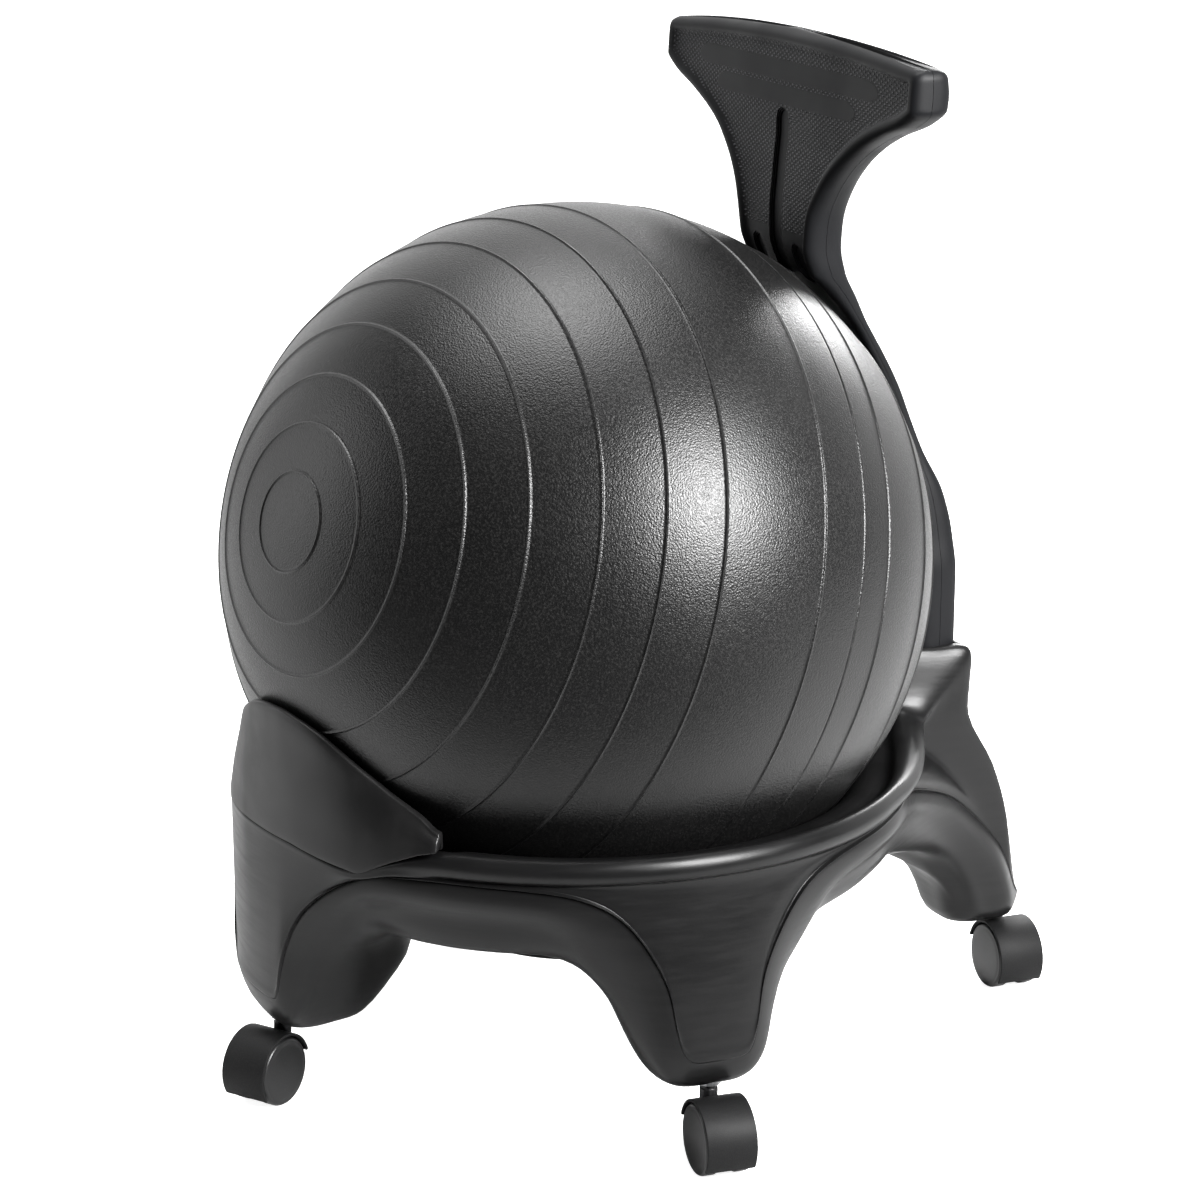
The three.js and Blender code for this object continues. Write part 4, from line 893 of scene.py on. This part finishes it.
def on_ball_axis(form):
    spin = Vector((0, 0, 1)).rotation_difference(ball_axis).to_matrix().to_4x4()
    return moved(form, Matrix.Translation((0, 0, BALL_HEIGHT)) @ spin)


def make_ball():
    ball = build("ball_skin_smooth", *on_ball_axis(lathe(ball_outline(), steps=224)), sharp=50)
    finish_piece(ball, ball_vinyl, "ball", "ball_vinyl", "ball_skin")
    seat = -BALL_RADIUS - SEAT_GAP
    shank, end, bore = VALVE.radius - SEAT_GAP, seat + VALVE.length, VALVE.bore
    head, top, dent = VALVE.head_radius, seat - VALVE.head, seat - VALVE.head * 0.4
    profile = rounded([
        (0, end), (shank - bore, end), (shank, end - bore), (shank, seat + VALVE.groove_high),
        (shank - VALVE.groove_depth, seat + VALVE.groove), (shank, seat + VALVE.groove_low),
        (shank, seat + VALVE.gap), (head, seat + VALVE.gap), (head - VALVE.head, top),
        (head * 0.55, top), (head * 0.5, dent), (head * 0.25, dent), (head * 0.2, top), (0, top),
    ], VALVE.round, 3)
    plug = build("ball_plug", *on_ball_axis(lathe(profile, steps=48)), sharp=40)
    finish_piece(plug, plug_nylon, "ball", "plug_nylon", "valve_plug")


# Backrest
BACK = Sizes(
    top=749, bottom=244, half_width=196, front=152.5, rear=292, ball_gap=2.2, thinnest=12,
    round=8, border=7, slope=6, recess=3.6, recess_start=545, recess_full=585, field_bottom=603,
    arch=9.3, arch_start=620, arch_full=739, side_end=722, corner_end=737,
    corner_start=183, corner_run=13, corner_drop=2.6,
    slot_width=20, slot_top=693, slot_bottom=574,
    side_slot_width=16, side_slot_top=599, side_slot_bottom=570, side_slot_offset=31,
    pad_rise=0.2, pad_half_height=7, pad_end=17,
)
SLOT_CUTS = [(-2, 6.6), (-1, 5.4), (0, 4.4)]  # how far each cut widens a groove, and its depth
PAD_STEPS = 96
PAD_RINGS = [(1, -0.5), (1, 0.35), (0.93, 0.85), (0.8, 1), (0.4, 1)]  # size, and share of the rise
PADS = [(722.5, 141), (703.5, 109)]  # height, and half of the length
# Levels up the backrest, and its width and faces there, as shares of its half width and its depth
LEVELS = [
    0, 0.111, 0.2, 0.259, 0.319, 0.388, 0.438, 0.485, 0.537, 0.586, 0.626, 0.665, 0.705, 0.745, 0.786,
    0.824, 0.855, 0.881, 0.903, 0.925, 0.947, 0.968, 0.98, 0.99, 1,
]
LEVEL_WIDTH = [
    0.23, 0.23, 0.23, 0.209, 0.189, 0.161, 0.156, 0.158, 0.179, 0.219, 0.25, 0.28, 0.292, 0.314, 0.377,
    0.476, 0.6, 0.752, 0.918, 1, 1, 1, 0.985, 0.737, 0,
]
LEVEL_FRONT = [
    0.785, 0.785, 0.785, 0.778, 0.763, 0.72, 0.649, 0.572, 0.464, 0.337, 0.183, 0.054, 0.004, 0, 0.011,
    0.022, 0.032, 0.032, 0.036, 0.039, 0.043, 0.05, 0.061, 0.079, 0.104,
]
LEVEL_REAR = [
    1, 1, 1, 0.986, 0.939, 0.817, 0.742, 0.67, 0.556, 0.427, 0.34, 0.254, 0.219, 0.215, 0.219,
    0.226, 0.233, 0.24, 0.247, 0.254, 0.262, 0.254, 0.247, 0.233, 0.204,
]
OUTLINE_STEP = 2.5
CORNER_PLACES = [195.6, 194.5, 192.5, 189.5, 186]
TOP_HALF_WIDTH = 180
ROW_STEPS = Sizes(post=5, head=1.9, head_start=560, top=21)
TOP_ROWS = [20, 18, 16.2, 14.5, 13, 11.5, 10, 8.4, 6.8, 5.3, 3.9, 2.7, 1.7, 0.9, 0.3, 0]  # below the top
HALF_COLUMNS = 44
BISECTIONS = 40
BEYOND = 240  # wider than the backrest
PLAIN = -5.0  # field of a surface with no diamonds
level_heights = lerp(BACK.bottom, BACK.top, np.array(LEVELS))


def back_width(height):
    return BACK.half_width * monotone(level_heights, LEVEL_WIDTH, height)


def bow(x):
    """How far the arch of the head has come down at a place across it."""
    return BACK.arch * (x / BACK.half_width) ** 2


def back_faces(height):
    """Reach of the backrest's front and rear faces at heights, before the edges are rounded."""
    height = np.asarray(height, float)
    front = lerp(BACK.front, BACK.rear, monotone(level_heights, LEVEL_FRONT, height))
    rear = lerp(BACK.front, BACK.rear, monotone(level_heights, LEVEL_REAR, height))
    rise = np.clip((BALL_RADIUS + BACK.ball_gap) ** 2 - (height - BALL_HEIGHT) ** 2, 0, None)
    front = np.maximum(front, np.sqrt(rise))
    return front, np.maximum(rear, front + BACK.thinnest)


def back_outline():
    """Right half of the backrest's outline, from the foot to the middle of the top, as a dense line."""
    side_heights = np.arange(BACK.bottom, BACK.side_end, OUTLINE_STEP)
    heights = np.concatenate([side_heights, np.linspace(BACK.side_end, BACK.corner_end, 12)])
    side = [(float(back_width(height)), height) for height in heights]
    across = np.concatenate([CORNER_PLACES, np.linspace(TOP_HALF_WIDTH, 0, 60)])
    corner = np.clip((across - BACK.corner_start) / BACK.corner_run, 0, 1) ** 3
    return np.array(side + list(zip(across, BACK.top - bow(across) - BACK.corner_drop * corner)))


outline = back_outline()


def edge_distance(x, z):
    """Distance in millimetres of points of the backrest from its outline."""
    points = np.stack([np.abs(x).ravel(), z.ravel()], axis=1)
    best = np.full(len(points), 1e9)
    for a, b in zip(outline, outline[1:]):
        run = b - a
        t = np.clip(((points - a) @ run) / (run @ run), 0, 1)
        best = np.minimum(best, np.linalg.norm(points - a - t[:, None] * run, axis=1))
    return best.reshape(x.shape)


def back_rows():
    """Grid of places (x, z) across the backrest, in rows that follow the arch of its top edge."""
    top, steps = BACK.top, ROW_STEPS
    heights = np.concatenate([
        np.arange(BACK.bottom, steps.head_start, steps.post),
        np.arange(steps.head_start, top - steps.top, steps.head), top - np.array(TOP_ROWS)])
    shares = np.sin(np.linspace(-math.pi / 2, math.pi / 2, 2 * HALF_COLUMNS + 1))
    xs, zs = [], []
    for middle, arched in zip(heights, smoothstep(BACK.arch_start, BACK.arch_full, heights)):
        low, high = 0.0, BEYOND
        for _ in range(BISECTIONS):
            x = (low + high) / 2
            z = middle - arched * bow(x)
            inside = x < back_width(z) and z <= top - bow(x) + TINY
            low, high = (x, high) if inside else (low, x)
        x = shares * low
        xs.append(x)
        zs.append(middle - arched * bow(x))
    return np.array(xs), np.array(zs)


def roundness(distance, radius):
    """How far a face stands out from the parting plane, as a share, at a distance from the outline."""
    t = 1 - np.clip(distance / radius, 0, 1)
    return (1 - t ** 2.8) ** (1 / 2.8)


def set_field(obj, values):
    """Gives each point how far it lies inside the field of diamonds."""
    attribute = obj.data.attributes.new("field", "FLOAT", "POINT")
    attribute.data.foreach_set("value", np.asarray(values, np.float32))


def make_shell(is_front):
    """Front or rear half of the backrest, from the parting plane in its middle to its face."""
    xs, zs = back_rows()
    distance = edge_distance(xs, zs)
    distance[:, 0] = distance[:, -1] = distance[-1, :] = 0
    front, rear = back_faces(zs)
    parting = (front + rear) / 2 + (-SEAT_GAP if is_front else SEAT_GAP) / 2
    surface = lerp(parting, front if is_front else rear, roundness(distance, BACK.round))
    within = distance - BACK.border
    count = xs.size
    values = np.full(2 * count, PLAIN)
    if is_front:
        sunk = smoothstep(0, BACK.slope, within) * smoothstep(BACK.recess_start, BACK.recess_full, zs)
        surface = surface + BACK.recess * sunk
        values[:count] = np.minimum(within, zs - BACK.field_bottom).ravel() - BACK.slope * 0.6
    points = np.concatenate([np.stack([xs, y, zs], axis=2).reshape(-1, 3) for y in (surface, parting)])
    rows, columns = xs.shape
    skin = grid_faces(rows, columns, False, False)
    faces = skin + [tuple(count + v for v in face[::-1]) for face in skin]
    rim = [(0, j) for j in range(columns)] + [(i, columns - 1) for i in range(1, rows)]
    rim += [(rows - 1, j) for j in range(columns - 2, -1, -1)] + [(i, 0) for i in range(rows - 2, 0, -1)]
    ring = [i * columns + j for i, j in rim]
    faces += [(b, a, count + a, count + b) for a, b in zip(ring, ring[1:] + ring[:1])]
    shell = build("back_front_shell" if is_front else "back_rear_shell", points, faces)
    set_field(shell, values)
    return shell


def slot_tool(across, width, bottom, top, depth):
    """Cutter of a groove with a round top, which follows the backrest's front face."""
    radius = width / 2
    middle = top - radius
    arc = middle + radius * np.sin(np.linspace(0.2, 1.5, 7))
    heights = np.concatenate([np.linspace(bottom, middle, 14), arc])
    front, _ = back_faces(heights)
    half = radius * np.sqrt(1 - np.clip((heights - middle) / radius, 0, 0.998) ** 2)
    points = []
    for w, y, z in zip(half, front, heights):
        near, far, left, right = y - 3 * OVERRUN, y + depth, across - w, across + w
        points += [(left, near, z), (right, near, z), (right, far, z), (left, far, z)]
    return build("tool", points, tube_faces(len(heights), 4))


def pad_form(height, half_length):
    """Smooth raised bar on the textured field, with round ends, along the arch of the head."""
    half, end = BACK.pad_half_height, BACK.pad_end
    points = []
    for size, lift in PAD_RINGS:
        for k in range(PAD_STEPS):
            angle = 2 * math.pi * k / PAD_STEPS
            reach = (end - half * (1 - size)) * math.cos(angle)
            x = reach + math.copysign(half_length - end, math.cos(angle))
            z = height + half * size * math.sin(angle) - bow(x)
            points.append((x, float(back_faces(z)[0]) + BACK.recess - BACK.pad_rise * lift, z))
    faces = grid_faces(len(PAD_RINGS), PAD_STEPS, False, True)
    faces.append(tuple(range(PAD_STEPS))[::-1])
    last = (len(PAD_RINGS) - 1) * PAD_STEPS
    quarter = PAD_STEPS // 4
    for k in range(-quarter, quarter):
        corners = (k, k + 1, 2 * quarter - k - 1, 2 * quarter - k)
        faces.append(tuple(last + corner % PAD_STEPS for corner in corners))
    return np.array(points), faces


SCREW = Sizes(
    radius=1.8, head_radius=3.6, head_height=2, length=17, wide=(120, 722), neck=(46, 622),
    drive=1.5, sink=6, well_gap=0.4, well_depth=12,
)
THREAD_PITCH = 1.8
THREAD_END = 1
HEAD_EDGE = 0.2
HEAD_RIM = 0.25
RECESS_EDGE = 0.15
screw_places = [(side * x, z) for x, z in (SCREW.wide, SCREW.neck) for side in (-1, 1)]


def rear_face(height):
    return float(back_faces(height)[1])


def fastener(size, seat):
    """Pan head with a six-sided recess, and a grooved shank, along Y with its head to the rear."""
    radius, head, height, drive = size.radius, size.head_radius, size.head_height, size.drive
    low = radius - size.length
    turns = max(6, int(2 * size.length / THREAD_PITCH))
    profile = [(0, -size.length), (radius * 0.6, -size.length)]
    for k in range(turns + 1):
        profile.append((radius * (1 if k % 2 == 0 else 0.86), low - (THREAD_END + low) * k / turns))
    profile += [
        (radius, 0), (head - HEAD_EDGE, 0), (head, HEAD_RIM), (head, height * 0.55),
        (head * 0.93, height * 0.8), (head * 0.75, height), (drive * 1.12, height),
    ]
    recess = len(profile)
    profile += [(drive, height - RECESS_EDGE), (drive, height * 0.45), (0, height * 0.4)]

    def shares(i, angles):
        if i < recess:
            return np.ones(len(angles))
        return 0.93 / np.cos((angles % (math.pi / 3)) - math.pi / 6)

    return shifted(lying(lathe(profile, 48, shares)), y=seat)


def cut_slots(shell):
    """Cuts the three grooves, each in steps that round its lips."""
    slots = [(0, BACK.slot_width, BACK.slot_bottom, BACK.slot_top)]
    for side in (-1, 1):
        across = side * BACK.side_slot_offset
        slots.append((across, BACK.side_slot_width, BACK.side_slot_bottom, BACK.side_slot_top))
    tools = []
    for across, width, bottom, top in slots:
        for wider, depth in SLOT_CUTS:
            tools.append(slot_tool(across, width + 2 * wider, bottom, top + wider, depth))
    cut(shell, *tools)


def cut_wells(shell):
    """Cuts a well for the head of each screw."""
    wells = []
    for x, z in screw_places:
        radius, seat = SCREW.head_radius + SCREW.well_gap, rear_face(z) - SCREW.sink
        top = seat + SCREW.well_depth
        well = rounded([(0, seat), (radius, seat), (radius, top), (0, top)], 0.2)
        wells.append(build("tool", *shifted(lying(lathe(well, steps=40)), x, 0, z)))
    cut(shell, *wells)


def make_fastener(node, size, x, seat, z):
    piece = build(f"{node}_detailed", *shifted(fastener(size, seat), x, 0, z), sharp=35)
    finish_piece(piece, black_steel, "base", "black_steel", node)


def make_back():
    front = make_shell(True)
    pads = [build("pad", *pad_form(height, half)) for height, half in PADS]
    for pad in pads:
        set_field(pad, np.full(len(pad.data.vertices), PLAIN))
    cut_slots(front)
    cut(front, *pads, operation="UNION")
    rear = make_shell(False)
    cut_wells(rear)
    for shell, node in ((front, "backrest_front_shell"), (rear, "backrest_rear_shell")):
        shade(shell.data, sharp=48)
        finish_piece(shell, back_plastic, "base", "back_plastic", node)
    for i, (x, z) in enumerate(screw_places):
        make_fastener(f"shell_screw_{i + 1}", SCREW, x, rear_face(z) - SCREW.sink + SEAT_GAP, z)
    for name, side in (("left", -1), ("right", 1)):
        across = side * BOLT.spacing / 2
        make_fastener(f"back_bolt_{name}", BOLT, across, SOCKET.rear + SEAT_GAP, BOLT.height)
    dress(frame["nodes"]["back_core_bar"], steel)


# Casters
CASTER = Sizes(
    wheel=25, trail=20.5, half_width=18.7, web=6, web_tail=40, side_gap=0.5, axle=3, axle_inset=4,
    hood_gap=1.2, hood_wall=2, hood_round=0.75, low=-34, high=162, boss=6.2,
    stem=5.5, stem_bottom=30, stem_top=77, stem_round=0.35, shank=4, collar=6.3, collar_bottom=46,
    collar_top=53.8, groove=69, groove_width=3, groove_radius=4.4,
)
WHEEL = Sizes(
    dome=0.9, tread_round=1.6, tread_edge=0.5, wall=3.2, draft=0.4, pocket=5, pocket_edge=1,
    wall_fillet=2.8, hub_fillet=2, hub_wall=3, hub_gap=0.1,
)
WHEEL_DOME = (0, 0.2, 0.4, 0.6, 0.75, 0.86)  # shares of the radius
WHEEL_EDGE = [  # share of the radius, and drop from the face
    (0.9, 1), (0.925, 0.85), (0.945, 1.15), (0.965, 1.5), (0.986, 2.3), (1, 3.4),
]
ARC_STEPS = 60
ARC_ENDS = [(0.55, 0), (0.86, 0.25), (1, 0.8)]  # share of its size, and millimetres in from its end
ARC_INSET = 1.4
ARC_NARROWING = 0.06


def wheel_form(side):
    """Twin wheel half: domed outer face with a rounded edge, tread, and a hollow back with a hub."""
    outer, inner = CASTER.half_width, CASTER.web + CASTER.side_gap
    radius, bore = CASTER.wheel, CASTER.axle + SEAT_GAP
    bore_end = outer - CASTER.axle_inset + SEAT_GAP
    wall, hub, pocket = radius - WHEEL.wall, bore + WHEEL.hub_wall, inner + WHEEL.pocket
    profile = [(radius * share, outer - WHEEL.dome * share ** 2) for share in WHEEL_DOME]
    profile += [(radius * share, outer - drop) for share, drop in WHEEL_EDGE]
    profile += [
        (radius, (outer + inner) / 2), (radius, inner + WHEEL.tread_round),
        (radius - WHEEL.tread_edge, inner + WHEEL.tread_edge), (radius - WHEEL.tread_round, inner),
        (wall, inner), (wall - WHEEL.draft, pocket - WHEEL.pocket_edge),
        (wall - WHEEL.wall_fillet, pocket), (hub + WHEEL.hub_fillet, pocket),
        (hub + WHEEL.draft, pocket - WHEEL.pocket_edge), (hub, inner + WHEEL.hub_gap),
        (bore, inner), (bore, bore_end), (0, bore_end),
    ]
    points, faces = lying(lathe(profile, steps=72))
    return shifted((points * np.array([side, side, 1]), faces), CASTER.trail, 0, CASTER.wheel)


def round_wheel(radius, angle):
    """Place, as (x, z), at a radius and an angle round the wheels' axis."""
    return CASTER.trail + radius * math.cos(angle), CASTER.wheel + radius * math.sin(angle)


def arc_form(inner, outer, half, low, high, edge):
    """Band round the wheels' axis between two angles, with rounded edges and ends."""
    middle = (inner + outer) / 2
    corners = [(outer, half), (outer, -half), (inner, -half), (inner, half)]
    section = rounded([(middle, half), *corners, (middle, half)], edge, 3)[:-1]
    turn = math.degrees(1 / outer)
    angles = [(low + turn * out, size) for size, out in ARC_ENDS]
    inset = turn * ARC_INSET
    angles += [(angle, 1) for angle in np.linspace(low + inset, high - inset, ARC_STEPS)]
    angles += [(high - turn * out, size) for size, out in reversed(ARC_ENDS)]
    points = []
    for angle, size in angles:
        for radius, across in section:
            x, z = round_wheel(middle + (radius - middle) * size, math.radians(angle))
            points.append((x, across * (1 - (1 - size) * ARC_NARROWING), z))
    return np.array(points), tube_faces(len(angles), len(section))


def hood_mesh(name):
    """Hood over the wheels, with the web between them, the boss for the stem, and its holes."""
    inner = CASTER.wheel + CASTER.hood_gap
    outer = inner + CASTER.hood_wall
    low, high = CASTER.low, CASTER.high
    wide = CASTER.half_width - CASTER.side_gap
    hood = build(name, *arc_form(inner, outer, wide, low, high, CASTER.hood_round))
    angles = np.radians(np.linspace(low, high + CASTER.web_tail, ARC_STEPS))
    rim = [round_wheel((inner + outer) / 2, angle) for angle in angles]
    points = np.array([(x, y, z) for y in (-CASTER.web, CASTER.web) for x, z in rim])
    web = build("web", points, tube_faces(2, ARC_STEPS))
    boss_top = CASTER.collar_bottom - SEAT_GAP
    boss = build("boss", *rod(CASTER.boss, CASTER.stem_bottom, boss_top))
    cut(hood, web, boss, operation="UNION")
    reach = CASTER.web + OVERRUN
    axle = lying(rod(CASTER.axle + SEAT_GAP, -reach, reach))
    holes = [
        rod(CASTER.shank + SEAT_GAP, CASTER.stem_bottom - SEAT_GAP, boss_top + OVERRUN),
        rod(CASTER.collar + SEAT_GAP, boss_top, CASTER.collar_top + OVERRUN),
        shifted(axle, CASTER.trail, 0, CASTER.wheel),
    ]
    cut(hood, *[build("tool", *hole) for hole in holes])
    shade(hood.data, sharp=42)
    return hood


def stem_form():
    """Grip stem with a collar under the leg and a groove for its ring."""
    shank, collar, stem, thin = CASTER.shank, CASTER.collar, CASTER.stem, CASTER.groove_radius
    low, high, groove_top = CASTER.collar_bottom, CASTER.collar_top, CASTER.groove + CASTER.groove_width
    bottom, top = CASTER.stem_bottom, CASTER.stem_top
    return lathe(rounded([
        (0, bottom), (shank, bottom), (shank, low), (collar, low), (collar, high), (stem, high),
        (stem, CASTER.groove), (thin, CASTER.groove), (thin, groove_top), (stem, groove_top),
        (stem, top - stem + thin), (thin, top), (0, top),
    ], CASTER.stem_round, 3), steps=48)


def make_caster(leg):
    """Caster of one leg, drawn with its stem on the Z axis and then turned and moved to its place."""
    name = leg.name
    x, y, _ = polar(leg.heading, leg.reach - leg.inset, 0)
    place = Matrix.Translation((x, y, 0)) @ Matrix.Rotation(math.radians(leg.trail), 4, "Z")
    hood = hood_mesh(f"{name}_caster_hood_detailed")
    into_frame = Matrix.Translation(Vector(origin)) @ Matrix.Scale(MM, 4)
    hood.data.transform(into_frame @ place @ into_frame.inverted())
    finish_piece(hood, hood_nylon, f"{name}_caster", "caster_nylon", f"{name}_caster_hood")
    stem = build(f"{name}_caster_stem_detailed", *moved(stem_form(), place), sharp=40)
    finish_piece(stem, black_steel, f"{name}_caster", "black_steel", f"{name}_caster_stem")
    for word, side in (("left", 1), ("right", -1)):
        node = f"{name}_caster_wheel_{word}"
        wheel = build(f"{node}_detailed", *moved(wheel_form(side), place), sharp=45)
        finish_piece(wheel, wheel_nylon, f"{name}_wheel_{word}", "caster_nylon", node)
    for part in ("caster_axle", "leg_sleeve", "grip_ring"):
        dress(frame["nodes"][f"{name}_{part}"], steel)


make_base()
make_pommel()
make_ball()
make_back()
for leg in LEGS:
    make_caster(leg)


# Stage, light and view
FLOOR_REACH = 14  # metres
WHITE_PAPER = (0.86, 0.86, 0.86)
GLOW_ASIDE = 12  # degrees
SUN = Sizes(turn=-84, rise=80, distance=3, power=3.3, spread=38)
SOFTBOXES = [  # name, turn, rise, distance, width, height, power
    ("key", 112, 27, 2.2, 0.6, 0.95, 130),
    ("fill", -30, 16, 2.6, 1.7, 1.7, 18),
    ("rim", -140, 24, 2.4, 0.9, 1.1, 45),
]


def make_floor():
    """White paper for the camera; for the object, painted light and shade: pale below and behind it and
    dark in front.
    """
    corners = [(x * FLOOR_REACH, y * FLOOR_REACH, 0) for x, y in ((-1, -1), (1, -1), (1, 1), (-1, 1))]
    mesh = bpy.data.meshes.new("floor")
    mesh.from_pydata(corners, [], [(0, 1, 2, 3)])
    paint = Paint("floor_paper", WHITE_PAPER, 0.9, specular=0.2)
    seen = paint.node("ShaderNodeLightPath").outputs["Is Camera Ray"]
    forward = paint.along(paint.place, direction(CAMERA_TURN, 0))
    # What the chair sees of the floor is painted: pale near it as painted light, dark in front as painted
    # shade.
    paint.colour(paint.mix(seen, paint.tones(forward, 0.3, 0.62, (0.58,) * 3, (0.07,) * 3), WHITE_PAPER))
    paint.shader.inputs["Emission Color"].default_value = (1, 1, 1, 1)
    paint.feed(paint.shader.inputs["Emission Strength"], paint.math("MULTIPLY", seen, 0.9))
    paint.bump(paint.noise(60, 2), 0.0002, 0.2)
    mesh.materials.append(paint.material)
    add_object("floor", mesh)


def make_world():
    """White for the camera; for the object, a glow behind it and near darkness elsewhere."""
    world = bpy.data.worlds.new("studio")
    bpy.context.scene.world = world
    world.use_nodes = True
    nodes = Nodes(world.node_tree)
    sky = nodes.node("ShaderNodeTexCoord").outputs["Generated"]
    glow = nodes.ramp(nodes.along(sky, -direction(CAMERA_TURN - GLOW_ASIDE, 0)), 0.1, 1.0, 0.035, 1.6)
    seen = nodes.node("ShaderNodeLightPath").outputs["Is Camera Ray"]
    strength = nodes.node("ShaderNodeMix", {0: seen, 2: glow, 3: 1.0}, data_type="FLOAT")
    background = world.node_tree.nodes["Background"]
    background.inputs["Color"].default_value = (1, 1, 1, 1)
    nodes.feed(background.inputs["Strength"], strength.outputs[0])


def add_light(kind, name, turn, rise, distance, power):
    """Light that shines on the middle of the ball, from a distance in metres."""
    data = bpy.data.lights.new(name, kind)
    data.energy = power
    light = bpy.data.objects.new(name, data)
    away = direction(turn, rise)
    light.location = Vector(placed((0, 0, BALL_HEIGHT))) + away * distance
    light.rotation_mode = "QUATERNION"
    light.rotation_quaternion = away.to_track_quat("Z", "Y")
    bpy.context.scene.collection.objects.link(light)
    return data


def make_lights():
    overhead = add_light("SUN", "overhead", SUN.turn, SUN.rise, SUN.distance, SUN.power)
    overhead.angle = math.radians(SUN.spread)
    for name, turn, rise, distance, width, height, power in SOFTBOXES:
        softbox = add_light("AREA", name, turn, rise, distance, power)
        softbox.shape = "RECTANGLE"
        softbox.size, softbox.size_y = width, height


make_floor()
make_world()
make_lights()
bpy.context.scene.view_settings.view_transform = "Standard"
bpy.context.scene.view_settings.look = "None"
